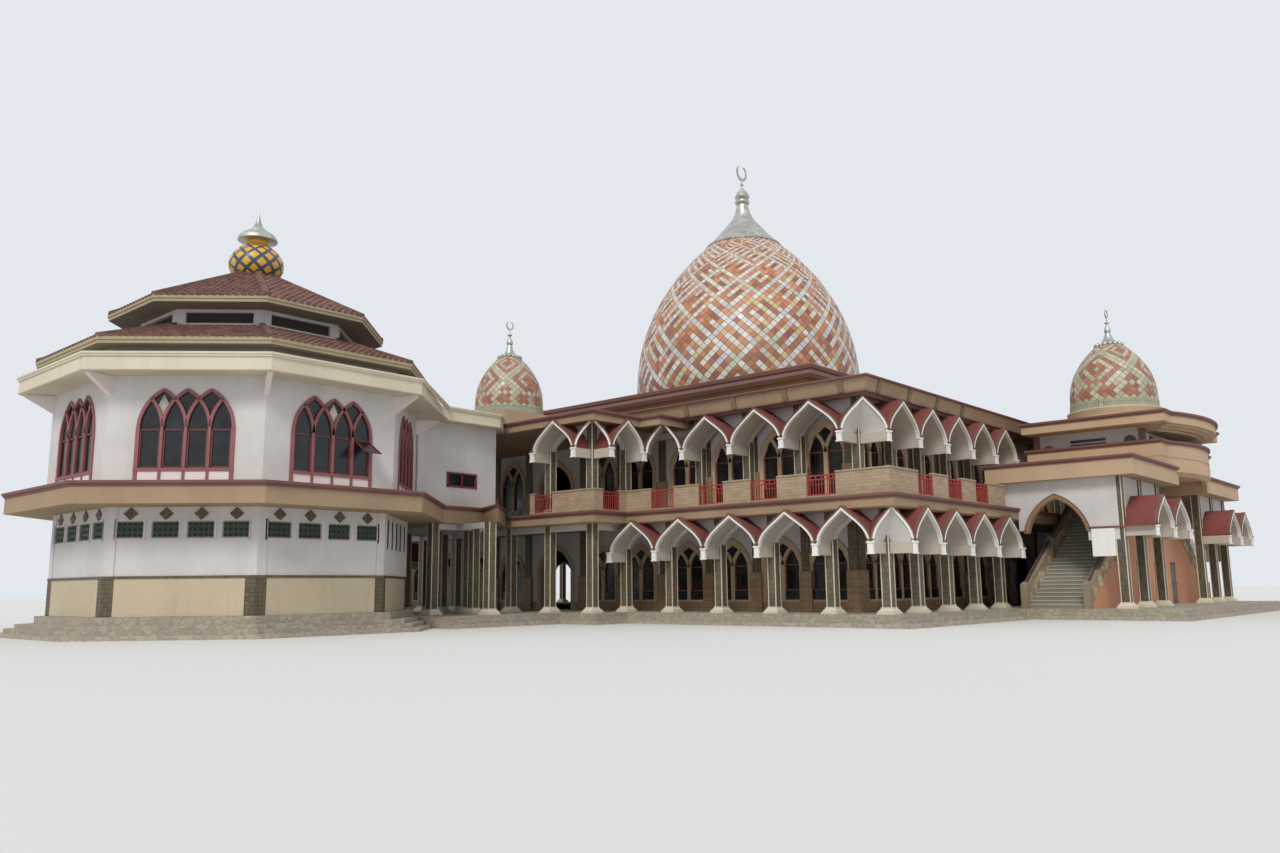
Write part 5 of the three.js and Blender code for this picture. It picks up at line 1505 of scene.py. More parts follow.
def parapet_half(kind):
    """Half of a side's parapet, for the south side and x > 0."""
    store = {}
    line, arm_line = -PARAPET_LINE, 0.23 - ARM_LEDGE
    x = ARM_LEDGE_HALF - 0.23
    start = 10.4 if kind == "entrance" else x
    bays = [(s - 0.65 - start, s + 0.65 - start) for s in GROUND_STATIONS if s - 0.7 > start]
    parapet_run((start, line), (-line, line), bays, store)
    if kind == "entrance":
        return store
    store["panels"] += parapet_corner(x, arm_line)
    parapet_run((x, arm_line), (x, line + 0.12), [(0.6, 1.7)], store)
    west, spans = (3.9, [(0.3, 1.5)]) if kind == "link" else (0.0, [(1.45, 2.75), (4.15, 5.45)])
    parapet_run((west, arm_line), (x, arm_line), spans, store)
    return store


def lay_parapets():
    halves = {kind: parapet_half(kind) for kind in ("link", "plain", "entrance")}
    corner = {"panels": parapet_corner(PARAPET_LINE, -PARAPET_LINE)}
    for name in CORNERS:
        south = halves["link"] if name[0] == "s" else halves["plain"]
        east = halves["entrance"] if name[1] == "e" else halves["plain"]
        place = CORNER_PLACES[name]
        store = gather_into(moved(south, place), moved(east, place @ DIAGONAL), moved(corner, place))
        node = f"parapet_{name}"
        finish(f"{node}_panels", store["panels"], "parapet", [node])
        finish(f"{node}_rails", store["rails"], "rail_red", [node])
    remove_parts(*halves.values(), corner)


# Pavilion


LIGHT = 0.8
TALL_WINDOW = (0.45, 1.97, 3.28)
VENT_PLACES = (-1.77, -0.59, 0.59, 1.77)
LOWER_ROOF = ((6.98, FLOOR + 9.75), (3.9, FLOOR + 10.95))
UPPER_ROOF = ((4.87, FLOOR + 11.85), (0.75, FLOOR + 14.0))
PLAIN_FACES = (0, 1, 3, 4, 5, 6, 7)
VENT_FACES = (0, 3, 4, 5, 6, 7)
SLIT_FACE = 1
SLIT_PLACES = (-1.84, -0.92, 0.0, 0.92, 1.84)
OPEN_FACE = 0


def fused(parts):
    """Several parts as one object."""
    clear_selection()
    for part in parts:
        part.select_set(True)
    bpy.context.view_layer.objects.active = parts[0]
    if len(parts) > 1:
        bpy.ops.object.join()
    return parts[0]


def on_corners(parts):
    """Parts drawn on the axis -y from the pavilion's centre, repeated on its corners."""
    return [duplicate(part, 0, PAVILION_Y, 0,
        EIGHTH + face * math.pi / 4 + math.pi / 2) for part in parts for face in range(8)]


def tile_slope(low, high):
    """Columns of overlapping roof tiles on one side of an octagonal roof, drawn from the centre to -y."""
    (r0, z0), (r1, z1) = low, high
    pitch = sizes().tile_pitch
    course = 0.36
    angle = math.atan2(z1 - z0, r0 - r1)
    wide, narrow, crown = pitch * 0.36, pitch * 0.2, 0.055
    tile = prism([(-wide, 0, -0.01), (wide, 0, -0.01), (narrow, 0, crown), (-narrow, 0, crown)],
        (0, -course - 0.04, 0.035))
    tile.data.transform(Matrix.Rotation(angle, 4, "X"))
    tiles = []
    slope = math.tan(EIGHTH)
    columns = int(2 * r0 * slope / pitch)
    for i in range(columns):
        u = (i - (columns - 1) / 2) * pitch
        end = max(r1, abs(u) / slope)
        radius = r0 + 0.04 - course * math.cos(angle)
        while radius > end:
            height = z0 + (r0 - radius) * math.tan(angle)
            tiles.append(duplicate(tile, u, -radius, height))
            radius -= course * math.cos(angle)
    discard(tile)
    return fused(tiles)


def hip(low, high):
    """The ridge along one corner of an octagonal roof, drawn from the centre to -y."""
    k = 1 / math.cos(EIGHTH)
    (r0, z0), (r1, z1) = low, high
    outline = [(-0.15, -r1 * k, z1 - 0.02), (0.15, -r1 * k, z1 - 0.02), (0.08, -r1 * k, z1 + 0.13),
        (-0.08, -r1 * k, z1 + 0.13)]
    push = (0, (r1 - r0) * k - 0.06, z0 - z1)
    return prism(outline, push)


def lay_pavilion_roofs():
    for name, low, high in (("lower", *LOWER_ROOF), ("upper", *UPPER_ROOF)):
        side, ridge = tile_slope(low, high), hip(low, high)
        finish(f"pavilion_{name}_tiles", on_faces([side], 0.0), "roof_tile")
        finish(f"pavilion_{name}_hips", on_corners([ridge]), "ridge_tile")
        discard(side, ridge)
        edge = moulding(octagon(low[0]), low[1],
            [(-0.05, -0.24), (0.035, -0.24), (0.035, -0.12), (0.07, -0.12), (0.07, 0.0), (-0.05, 0.02)])
        finish(f"pavilion_{name}_boards", [edge], "eave_board")


def rib_lines():
    """The bars of the pavilion's windows: three interlaced arches over four lights."""
    z0 = PAVILION_LEDGE[1]
    sill, spring, peak = (z0 + height for height in TALL_WINDOW)
    x = [LIGHT * (i - 2) for i in range(5)]
    full = 2 * LIGHT
    lines = [rising_arc(x[i], x[i] + full, spring, peak, LIGHT) for i in (0, 1, 2)]
    lines += [rising_arc(x[i], x[i] - full, spring, peak, LIGHT) for i in (2, 3, 4)]
    lines += [rising_arc(x[3], x[3] + full, spring, peak, LIGHT / 2),
        rising_arc(x[1], x[1] - full, spring, peak, LIGHT / 2)]
    posts = [[(u, z0), (u, spring)] for u in x]
    return lines, posts, x, (sill, spring, peak)


def tall_window():
    """Frame, inner frames, glass, pale panes and the panel under the sill, drawn at y = 0."""
    lines, posts, x, (sill, spring, peak) = rib_lines()
    frame = [ribbon(line, 0.11, -0.05, 0.08) for line in lines]
    frame += [ribbon(post, 0.13 if i in (0, 4) else 0.1, -0.05, 0.08) for i, post in enumerate(posts)]
    frame.append(block(x[0] - 0.07, x[4] + 0.07, -0.06, 0.08, sill, sill + 0.1))
    leaves = []
    for left, right in zip(x, x[1:]):
        leaves += bars_round(left + 0.06, right - 0.06, sill + 0.1, spring - 0.06, 0.055, 0.0, 0.07)
    rise = rising_arc(x[0], x[0] + 2 * LIGHT, spring, peak, LIGHT)
    fall = [(2 * x[1] - u, z) for u, z in reversed(rise[:-1])]
    one_peak = [(x[0], sill)] + rise + [p for p in fall if p[0] < x[1] + LIGHT / 2]
    upper = [p for p in rise if p[0] > x[0] + LIGHT / 2]
    middle = [(u + LIGHT, z) for u, z in upper] + [(-u - LIGHT, z) for u, z in reversed(upper[:-1])]
    mirror = [(-u, z) for u, z in reversed(one_peak)]
    glass = [upright(one_peak + middle + mirror, 0.04, 0.06)]
    pale = [upright(diamond(centre, peak, 0.2, 1.0, 0.55, 0.16), 0.02, 0.045) for centre in (x[1], x[2])]
    panel = [block(x[0], x[4], -0.02, 0.1, PAVILION_LEDGE[1] + 0.005, sill + 0.02)]
    return {"frames": frame, "leaves": leaves, "glass": glass, "pale": pale, "panels": panel}


def diamond(u, z, half, low, middle, high):
    """A diamond's outline whose points lie low, middle and high under z."""
    return [(u, z - low), (u + half, z - middle), (u, z - high), (u - half, z - middle)]


def open_sash():
    """The top-hung sash that stands open in the right-hand light, drawn at y = 0."""
    half, height = LIGHT / 2 - 0.07, 0.95
    leaves = bars_round(-half, half, -height, 0.0, 0.06, -0.04, 0.0)
    glass = [block(-half + 0.01, half - 0.01, -0.025, -0.015, 0.01 - height, -0.01)]
    hinge = (1.5 * LIGHT, -0.03, PAVILION_LEDGE[1] + TALL_WINDOW[1] - 0.14)
    swing = Matrix.Translation(hinge) @ Matrix.Rotation(math.radians(-58), 4, "X")
    for part in leaves + glass:
        part.data.transform(swing)
    return {"leaves": leaves, "glass": glass}


def lay_pavilion_windows():
    parts, sash = tall_window(), open_sash()
    wall = PAVILION_UPPER_WALL
    materials = {"frames": "window_rose", "leaves": "sash", "glass": "glass", "pale": "pale_glass",
        "panels": "pink_plaster"}
    for kind, material in materials.items():
        made = parts[kind]
        if kind == "pale":
            laid = on_faces(made[:1], wall, (1, 4, 7)) + on_faces(made[1:], wall, (0, 3))
        else:
            laid = on_faces(made, wall, PLAIN_FACES) + on_faces(sash.get(kind, []), wall, (OPEN_FACE,))
        finish(f"pavilion_window_{kind}", laid, material)
    remove_parts(parts, sash)


def vent(u):
    """A lattice block vent in a white frame, with its bars."""
    half, tall, edge = 0.46, 0.3, 0.06
    x0, x1, z0, z1 = u - half, u + half, FLOOR + 3.2 - tall, FLOOR + 3.2 + tall
    frame = [block(x0 - edge, x1 + edge, -0.03, 0.04, z, z + edge) for z in (z1, z0 - edge)]
    frame += [block(x, x + edge, -0.03, 0.04, z0, z1) for x in (x0 - edge, x1)]
    cell, row = 2 * half / 5, 2 * tall / 3
    bars = [block(x0 + cell * i - 0.015, x0 + cell * i + 0.015, -0.01, 0.03, z0, z1) for i in range(1, 5)]
    bars += [block(x0, x1, -0.01, 0.03, z0 + row * j - 0.015, z0 + row * j + 0.015) for j in (1, 2)]
    for i in range(5):
        for j in range(3):
            ring = diamond(x0 + cell * (i + 0.5), z0 + row * (j + 1), cell / 2, row, row / 2, 0)
            bars.append(ribbon([*ring, ring[0]], 0.028, -0.01, 0.03))
    # The back block behind the lattice is painted shade: a dark sheet standing for the unlit room seen
    # through the vent.
    return {"vent_frames": frame, "vent_bars": bars, "vent_shade_backs": [block(x0, x1, 0.03, 0.05, z0, z1)]}


def slit(u):
    """A tall narrow slit in a white frame."""
    low, high = FLOOR + 2.65, FLOOR + 3.75
    half, edge = 0.2, 0.26
    frame = [block(x, x + 0.06, -0.03, 0.04, low - 0.05, high + 0.05) for x in (u - edge, u + half)]
    frame += [block(u - half, u + half, -0.03, 0.04, z, z + 0.05) for z in (high, low - 0.05)]
    # The back block in the slit is painted shade: a dark sheet standing for the unlit room seen through it.
    return {"vent_frames": frame, "vent_shade_backs": [block(u - half, u + half, -0.012, 0.004, low, high)]}


def lay_pavilion_wall_trim():
    z0, z1 = PAVILION_FLOOR + 0.005, PAVILION_LEDGE[0]
    half = PAVILION_WALL * math.tan(EIGHTH)
    vents = gather_into({}, *(vent(u) for u in VENT_PLACES))
    vents["diamonds"] = [upright(diamond(u, z1, 0.24, 0.455, 0.235, 0.015), -0.036,
        0.01) for u in VENT_PLACES]
    slits = gather_into({}, *(slit(u) for u in SLIT_PLACES))
    band = PAVILION_FLOOR + 1.27
    trim = {
        "dado": [block(-half + 0.34, half - 0.34, -0.03, 0.01, z0, band)],
        "dado_band": [block(-half - 0.02, half + 0.02, -0.055, 0.01, band, band + 0.09)],
        "dado_corners": [block(-half - 0.01, -half + 0.36, -0.04, 0.01, z0, band),
                         block(half - 0.36, half + 0.01, -0.04, 0.01, z0, band)],
        "pilasters": [block(-half - 0.01, -half + 0.32, -0.03, 0.01, band + 0.09, z1 - 0.002),
                      block(half - 0.32, half + 0.01, -0.03, 0.01, band + 0.09, z1 - 0.002)],
    }
    materials = {"vent_frames": "plaster", "vent_bars": "lattice_green", "vent_shade_backs": "dark_room",
        "diamonds": "olive_dado", "dado": "cream_dado", "dado_band": "olive_dado",
        "dado_corners": "olive_dado", "pilasters": "plaster"}
    for kind, material in materials.items():
        laid = on_faces(vents.get(kind, []), PAVILION_WALL, VENT_FACES)
        laid += on_faces(trim.get(kind, []), PAVILION_WALL, PLAIN_FACES)
        laid += on_faces(slits.get(kind, []), PAVILION_WALL, (SLIT_FACE,))
        finish(f"pavilion_{kind}", laid, material)
    remove_parts(vents, trim, slits)


LINK_LEDGE = [(3.2, -27.8), (3.2, -25.6), (5.5, -26.7), (2.8, -23.9), (-2.8, -23.9), (-5.5, -26.7),
    (-3.2, -25.6), (-3.2, -27.8)]
LINK_EAVE = [(3.5, -27.93), (3.5, -24.9), (2.6, -23.9), (-2.6, -23.9), (-3.5, -24.9), (-3.5, -27.93)]


def joined_outline(apothem, link):
    """An octagon whose north side opens into the link's outline, anticlockwise."""
    corners = octagon(apothem)
    return [corners[0], *link, *corners[3:]]


def lay_pavilion_mouldings():
    finish("pavilion_ledge_moulding", ledge_steps(joined_outline(7.6, LINK_LEDGE), PAVILION_LEDGE[1]),
        "maroon")
    eave = joined_outline(7.48, LINK_EAVE)
    z0, z1 = PAVILION_EAVE
    lip = moulding(eave, z1, [(-0.03, -0.14), (0.05, -0.14), (0.05, -0.09), (0.09, -0.06), (0.09, 0.01),
        (-0.03, 0.01)])
    foot = moulding(eave, z0, [(-0.2, -0.03), (0.0, -0.03), (0.03, 0.0), (0.03, 0.05), (-0.2, 0.05)])
    finish("pavilion_eave_lip", [lip, foot], "cream")
    k = 1 / math.cos(EIGHTH)
    near, far = 0.1 - PAVILION_UPPER_WALL * k, -7.3 * k
    outline = [(0.09, near, z0 - 0.01), (0.09, far, z0 - 0.01), (0.09, far, z0 - 0.1),
        (0.09, near, z0 - 0.75)]
    rib = prism(outline, (-0.18, 0, 0))
    finish("pavilion_eave_brackets", on_corners([rib]), "pink_plaster")
    discard(rib)


def lay_clerestory_panes():
    # The clerestory's windows are dark blocks standing in the openings: painted shade of the room inside.
    dark = block(-1.3, 1.3, 0.14, 0.18, LOWER_ROOF[1][1] + 0.05, UPPER_ROOF[0][1] - 0.28)
    finish("pavilion_clerestory_panes", on_faces([dark], 3.85), "dark_room", slot="dark_edge")
    discard(dark)


def lay_pavilion_finial():
    place = (0, PAVILION_Y, UPPER_ROOF[1][1])
    line = [(0.8, 0.0), (0.98, 0.18), (1.08, 0.4), (1.1, 0.6), (1.05, 0.82), (0.92, 1.05), (0.72, 1.26),
        (0.5, 1.4)]
    bulb = lathe([(0, -0.1), (0.8, -0.1), *line, (0, 1.42)], 40, *place)
    wrap_round(bulb, 0, PAVILION_Y, [(r, place[2] + z) for r, z in line], 11)
    finish("pavilion_bulb", [bulb], "yellow", ["pavilion_finial"], smooth=True)
    neck = lathe([(0, 1.38), (0.5, 1.38), (0.46, 1.44), (0.42, 1.48), (0.42, 1.62), (0.6, 1.66), (0, 1.7)],
        32, *place)
    finish("pavilion_neck", [neck], "yellow_plain", smooth=True)
    cap = lathe([(0, 1.62), (0.74, 1.62), (0.8, 1.64), (0.8, 1.7), (0.72, 1.86), (0.58, 1.98), (0.42, 2.05),
        (0.38, 2.06), (0.38, 2.1), (0.3, 2.16), (0.2, 2.26), (0.12, 2.44), (0.06, 2.66), (0.02, 2.9),
        (0, 2.9)], 20, *place)
    finish("pavilion_cap", [cap], "silver", smooth=True)


# Link between hall and pavilion


LINK_COLUMNS = ((2.6, -27.9), (2.6, -25.6), (4.9, -26.6), (1.0, -24.6))


def lay_link():
    top = PAVILION_LEDGE[0] - 0.001
    low = top - 0.25
    link = Arcade()
    for x, y in LINK_COLUMNS:
        for side in (-1, 1):
            link.post(side * x, y, FLOOR, top)
    for x0, x1, y0, y1 in ((-4.9, 4.9, -26.72, -26.48), (-2.72, -2.48, -27.9, -24.48),
            (2.48, 2.72, -27.9, -24.48), (-2.72, 2.72, -24.72, -24.48)):
        link.beam(x0, x1, y0, y1, low, top)
    for kind, parts in link.close().items():
        finish(f"link_{kind}", parts, ARCADE_FINISHES[kind], ["link_columns"])
    z = PAVILION_LEDGE[1]
    frames, glass = [], []
    for side in (-1, 1):
        x = side * 2.75
        for y0, y1, z0, z1 in ((-27.35, -25.65, 1.5, 1.58), (-27.35, -25.65, 0.9, 0.98),
                (-27.35, -27.28, 0.9, 1.58), (-25.72, -25.65, 0.9, 1.58), (-26.53, -26.47, 0.9, 1.58)):
            frames.append(block(x - 0.05, x + 0.05, y0, y1, z + z0, z + z1))
        glass.append(block(side * 2.66 - 0.01, side * 2.66 + 0.01, -27.3, -25.7, z + 0.95, z + 1.55))
    finish("link_window_frames", frames, "frame_red")
    finish("link_window_glass", glass, "glass")


# Entrance block


PORCH_TOP = FLOOR + 5.6
PORCH_WALL_Y = -9.6
PORCH_WEST = 20.25
PORCH_LINE = 25.75
PORCH_FRONT = 27.2
PORCH_COLUMNS = (-9.4, -6.65, -3.9)
PORCH_ARCH = (21.84, 24.46, FLOOR + 3.3, FLOOR + 4.85)
BAND_TOP = FLOOR + 6.44
STAIR_X = (21.95, 24.35)
STAIR_FOOT = 10.31
STAIR_STEPS = 26
LANDING_HALF = 2.9
DOORS = (-2.95, 0.0, 2.95)
TERRACE = (20.25, 26.43, 4.6, 3.57, 0.75)
TERRACE_LEVELS = (FLOOR + 6.2, FLOOR + 6.9, FLOOR + 7.66)
ENTRANCE_ROOF = (20.25, 26.8, 5.2, 4.1, 0.8)
ROOM = (20.4, 25.6, 4.0)
ROOM_TOP = FLOOR + 8.42
ROOF_TOP = FLOOR + 8.95


def porch_parts():
    """The south porch, sorted by finish: end wall, arch surround, canopies, columns and board."""
    porch = Arcade()
    x0, x1, spring, apex = PORCH_ARCH
    centre, half = (x0 + x1) / 2, (x1 - x0) / 2
    wall_y = PORCH_WALL_Y
    arch = pointed_arc(x0, x1, spring, apex, steps=12)
    outline = [(PORCH_WEST, LEDGE_TOP), (LEDGE_HALF + 0.01, LEDGE_TOP), (LEDGE_HALF + 0.01, FLOOR + 3.42),
        (x0 - 0.01, FLOOR + 3.42)] + arch + [(x1, FLOOR + 2.9), (PORCH_LINE, FLOOR + 2.9),
        (PORCH_LINE, PORCH_TOP), (PORCH_WEST, PORCH_TOP)]
    porch.add({"end_wall": [upright(outline, wall_y, wall_y + 0.25)]})
    band = arch_band(half, spring, apex, 0.1, 0.0, wall_y - 0.06, wall_y + 0.02)
    lining = arch_band(half, spring, apex, 0.0, 0.05, wall_y - 0.03, wall_y + 0.27)
    rim = arch_band(half + 0.1, spring, apex + 0.12, 0.035, 0.0, wall_y - 0.08, wall_y)
    for part in (band, lining, rim):
        part.data.transform(Matrix.Translation((centre, 0, 0)))
    porch.add({"surround": [band, lining], "lines": [rim]})
    porch.add({"lines": [block(x1, PORCH_FRONT - 0.05, wall_y - 0.07, wall_y + 0.05, FLOOR + 3.4,
        FLOOR + 3.47), block(x0 - 0.2, x0 + 0.02, wall_y - 0.07, wall_y + 0.05, FLOOR + 3.36,
        FLOOR + 3.43)]})
    porch.add({"board": [block(24.6, PORCH_LINE - 0.2, wall_y - 0.05, wall_y - 0.01, FLOOR + 2.2,
        FLOOR + 3.38)]})
    last, nearest = PORCH_COLUMNS[0], PORCH_COLUMNS[-1]
    run = [y - last for y in PORCH_COLUMNS]
    porch.run((PORCH_FRONT, last), (PORCH_FRONT, nearest), run, PORCH_FRONT - PORCH_LINE, PORCH_LEVEL,
        PORCH_TOP)
    for y in PORCH_COLUMNS:
        porch.post(PORCH_LINE, y, FLOOR, PORCH_TOP)
    return porch.close()


def lay_porches():
    parts = porch_parts()
    materials = {**ARCADE_FINISHES, "end_wall": "plaster", "surround": "porch_rim", "lines": "maroon",
        "board": "canopy_white", "shafts": "dark_column"}
    for side, place in (("south", Matrix.Identity(4)), ("north", FLIP_Y)):
        node = f"porch_{side}"
        for kind, made in moved(parts, place).items():
            finish(f"{node}_{kind}", made, materials[kind], [node])
    remove_parts(parts)


def bowed(x0, x1, half, bow_half, bow):
    """Square shoulders with a bow between them, anticlockwise."""
    radius = (bow_half ** 2 + bow ** 2) / (2 * bow)
    reach = math.asin(bow_half / radius)
    angles = [reach * (i / 12 - 1) for i in range(1, 24)]
    curve = [(x1 - radius + bow + radius * math.cos(a), radius * math.sin(a)) for a in angles]
    return [(x0, -half), (x1, -half), (x1, -bow_half), *curve, (x1, bow_half), (x1, half), (x0, half)]


def lay_entrance_mouldings():
    parts = []
    for y0, y1 in ((-10.1, -2.75), (2.75, 10.1)):
        parts += ledge_steps([(20.25, y0), (26.6, y0), (26.6, y1), (20.25, y1)], BAND_TOP)
    parts += ledge_steps(bowed(*TERRACE), TERRACE_LEVELS[2]) + ledge_steps(bowed(*ENTRANCE_ROOF), ROOF_TOP)
    finish("entrance_mouldings", parts, "maroon")
    x0, x1, half, bow_half, bow = ENTRANCE_ROOF
    tiers = []
    for i, inset in enumerate((0.2, 0.45, 0.7)):
        width = bow_half - inset * 0.6
        outline = bowed(ROOM[1] - 0.3, x1 - inset, width + 0.1, width, bow)
        tiers.append(slab(outline, ROOM_TOP - 0.09 * (i + 1), ROOM_TOP - 0.09 * i + 0.005))
    low = [(-0.4, -0.16), (-0.2, -0.16), (-0.04, -0.04), (0.03, 0), (0.03, 0.06), (-0.4, 0.06)]
    kerb = [(-0.05, -0.03), (0.02, -0.03), (0.02, 0.03), (-0.05, 0.03)]
    tiers += [moulding(bowed(*TERRACE), level, section) for level,
        section in zip(TERRACE_LEVELS, (low, kerb))]
    finish("entrance_soffit", tiers, "sand")


def round_head(centre, half, low, spring):
    """An opening with a half-round head, as (x, z) points."""
    turns = [math.pi * i / 10 for i in range(11)]
    head = [(centre - half * math.cos(a), spring + half * math.sin(a)) for a in turns]
    return [(centre - half, low)] + head + [(centre + half, low)]


def lay_entrance_room_trim():
    z = TERRACE_LEVELS[2]
    x_west, x_east, half = ROOM
    y = -half
    # The round-headed slot, the two bars and the three blocks on the east face are dark sheets in the glass
    # finish: painted shade standing for openings in the room's walls.
    dark = [upright(round_head(24.96, 0.28, z - 0.3, z + 0.12), y - 0.02, y + 0.02)]
    dark += [block(22.21, 23.86, y - 0.02, y + 0.02, z + level, z + level + 0.14) for level in (0.03, 0.24)]
    dark += [block(x_east - 0.02, x_east + 0.02, at - 0.3, at + 0.3, z, z + 0.36) for at in (-2.9, -1.7,
        -0.6)]
    trim = [block(22.1, 23.95, y - 0.05, y, z + level, z + level + 0.06) for level in (-0.04, 0.17, 0.38)]
    niche = [upright(round_head(21.14, 0.28, z - 0.3, z - 0.02), y - 0.03, y + 0.02)]
    posts = [block(x - 0.15, x + 0.15, y - 0.06, y + 0.1, FLOOR + 6.445,
        ROOM_TOP - 0.01) for x in (x_west + 0.17, x_east - 0.1)]
    for name, parts, material, slot in (("slots", dark, "glass", None),
            ("trim", trim, "grey_plaster", None), ("niches", niche, "porch_rim", "plaster"),
            ("posts", posts, "dark_edge", "column_tile")):
        finish(f"entrance_room_{name}", parts + [twin(part, FLIP_Y) for part in parts], material, slot=slot)


def stair_side(x0, doors, with_landing):
    """A stair's side wall with its stone balustrade, handrail and newels, between x0 and x0 + 0.25."""
    x1 = x0 + 0.25
    foot, landing, top = STAIR_FOOT, LANDING_HALF, LEDGE_TOP
    lift, rail, base = 0.1, 0.9, FLOOR + 0.001
    bottom = [(-foot, base)]
    for y in doors:
        bottom += [(y - 0.5, base), (y - 0.5, FLOOR + 2.1), (y + 0.5, FLOOR + 2.1), (y + 0.5, base)]
    level = top + lift if with_landing else top - 0.31
    roof = [(foot, base), (foot, FLOOR + lift), (landing, top + lift), (landing, level), (-landing, level),
        (-landing, top + lift), (-foot, FLOOR + lift)]
    wall = prism([(x0, y, z) for y, z in bottom + roof], (x1 - x0, 0, 0))
    made = {"wall": [wall], "stones": [], "rails": [], "newels": []}
    ramps = (("stones", -0.02, 0.29, lift, rail - 0.05), ("newels", -0.04, 0.33, rail - 0.05, rail + 0.02),
        ("rails", 0.09, 0.07, rail + 0.14, rail + 0.2))
    for side in (-1, 1):
        for kind, at, thick, low, high in ramps:
            outline = [(foot, FLOOR + low), (landing, top + low), (landing, top + high),
                (foot, FLOOR + high)]
            made[kind].append(prism([(x0 + at, side * y, z) for y, z in outline], (thick, 0, 0)))
        for share in (0.0, 0.48, 1.0):
            y = side * (foot + (landing - foot) * share)
            z = FLOOR + (top - FLOOR) * share
            head = z + rail + 0.16
            made["newels"] += [block(x0 - 0.03, x1 + 0.03, y - 0.14, y + 0.14, max(base, z - 0.1), head),
                taper((x0 + x1) / 2, y, head, head + 0.1, 0.14, 0.05)]
    if with_landing:
        made["stones"].append(block(x0 - 0.02, x1 + 0.02, -landing, landing, top + lift, top + rail - 0.05))
        made["rails"].append(block(x0 - 0.06, x1 + 0.06, -landing, landing, top + rail - 0.05,
            top + rail + 0.02))
    return made


def lay_stairs():
    """Treads with their nosings over the risers, and the side walls with balustrades."""
    run = (STAIR_FOOT - LANDING_HALF) / STAIR_STEPS
    rise = (LEDGE_TOP - FLOOR) / STAIR_STEPS
    treads = []
    for i in range(STAIR_STEPS):
        y, z = i * run - STAIR_FOOT, FLOOR + (i + 1) * rise
        treads.append(block(STAIR_X[0] + 0.01, STAIR_X[1] - 0.01, y - 0.03, y + run, z - 0.035, z + 0.012))
    finish("stair_treads", treads + [twin(tread, FLIP_Y) for tread in treads], "tread")
    sides = {"stair_inner_wall": (STAIR_X[0] - 0.2506, (), False),
        "stair_outer_wall": (STAIR_X[1] + 0.0006, DOORS, True)}
    materials = {"wall": "salmon", "stones": "patch_stone", "rails": "dark_rail", "newels": "newel"}
    for node, values in sides.items():
        for kind, made in stair_side(*values).items():
            finish(f"{node}_{kind}", made, materials[kind], [node])


def lay_doors():
    face = STAIR_X[1] + 0.2406
    half = 0.488
    z0, z1 = FLOOR + 0.012, FLOOR + 2.088
    for side, y in (("left", DOORS[0]), ("right", DOORS[2])):
        leaf = [block(face - 0.055, face - 0.008, y - half, y + half, z0, z1)]
        for x0, x1 in ((face - 0.008, face), (face - 0.06, face - 0.055)):
            for a, b in ((-half, -half + 0.12), (half - 0.12, half), (-0.05, 0.05)):
                leaf.append(block(x0, x1, y + a, y + b, z0, z1))
            for a, b in ((0.0, 0.2), (0.92, 1.06), (1.95, 2.076)):
                leaf.append(block(x0, x1, y - half, y + half, z0 + a, z0 + b))
        material = "door_red" if side == "left" else "door_grey"
        finish(f"{side}_door_leaf", leaf, material, [f"door_{side}"], f"{side}_door")
        hand = y + math.copysign(half - 0.07, y)
        knob = lathe([(0, 0), (0.03, 0), (0.03, 0.006), (0.01, 0.012), (0.01, 0.03), (0.026, 0.04),
            (0.03, 0.055), (0.02, 0.068), (0, 0.072)], 16)
        knob.data.transform(Matrix.Translation((face, hand, z0 + 1.0)) @ Matrix.Rotation(math.pi / 2, 4,
            "Y"))
        plate = block(face, face + 0.006, hand - 0.03, hand + 0.03, z0 + 0.9, z0 + 1.1)
        pin = lathe([(0, 0), (0.007, 0), (0.007, 0.031), (0, 0.031)], 12, face, y - math.copysign(half, y),
            FLOOR + 0.001)
        finish(f"{side}_door_handle", [knob, plate, pin], "brass", body=f"{side}_door")


# CAD nodes that stay, and the stage


PLAIN_NODES = {
    "plinth": "plinth", "stair_flight_south": "stair", "stair_flight_north": "stair",
    "entrance_terrace": "sand", "terrace_parapet": "sand", "entrance_roof": "sand",
    "upper_floor": "stucco", "main_roof": "stucco",
    "attic_wall": "stucco", "attic_roof": "dark_edge", "pavilion_eave": "cream", "pavilion_floor": "stucco",
    "pavilion_lower_roof": "roof_underside", "pavilion_upper_roof": "roof_underside",
}


def lay_plain_nodes():
    """Gives the CAD nodes that no piece replaces their finish."""
    for name, node in CAD.items():
        if node.hide_render:
            continue
        material = PLAIN_NODES.get(name, "plaster")
        node.data.materials.clear()
        node.data.materials.append(finish_for(material))
        PIECES.append(name)


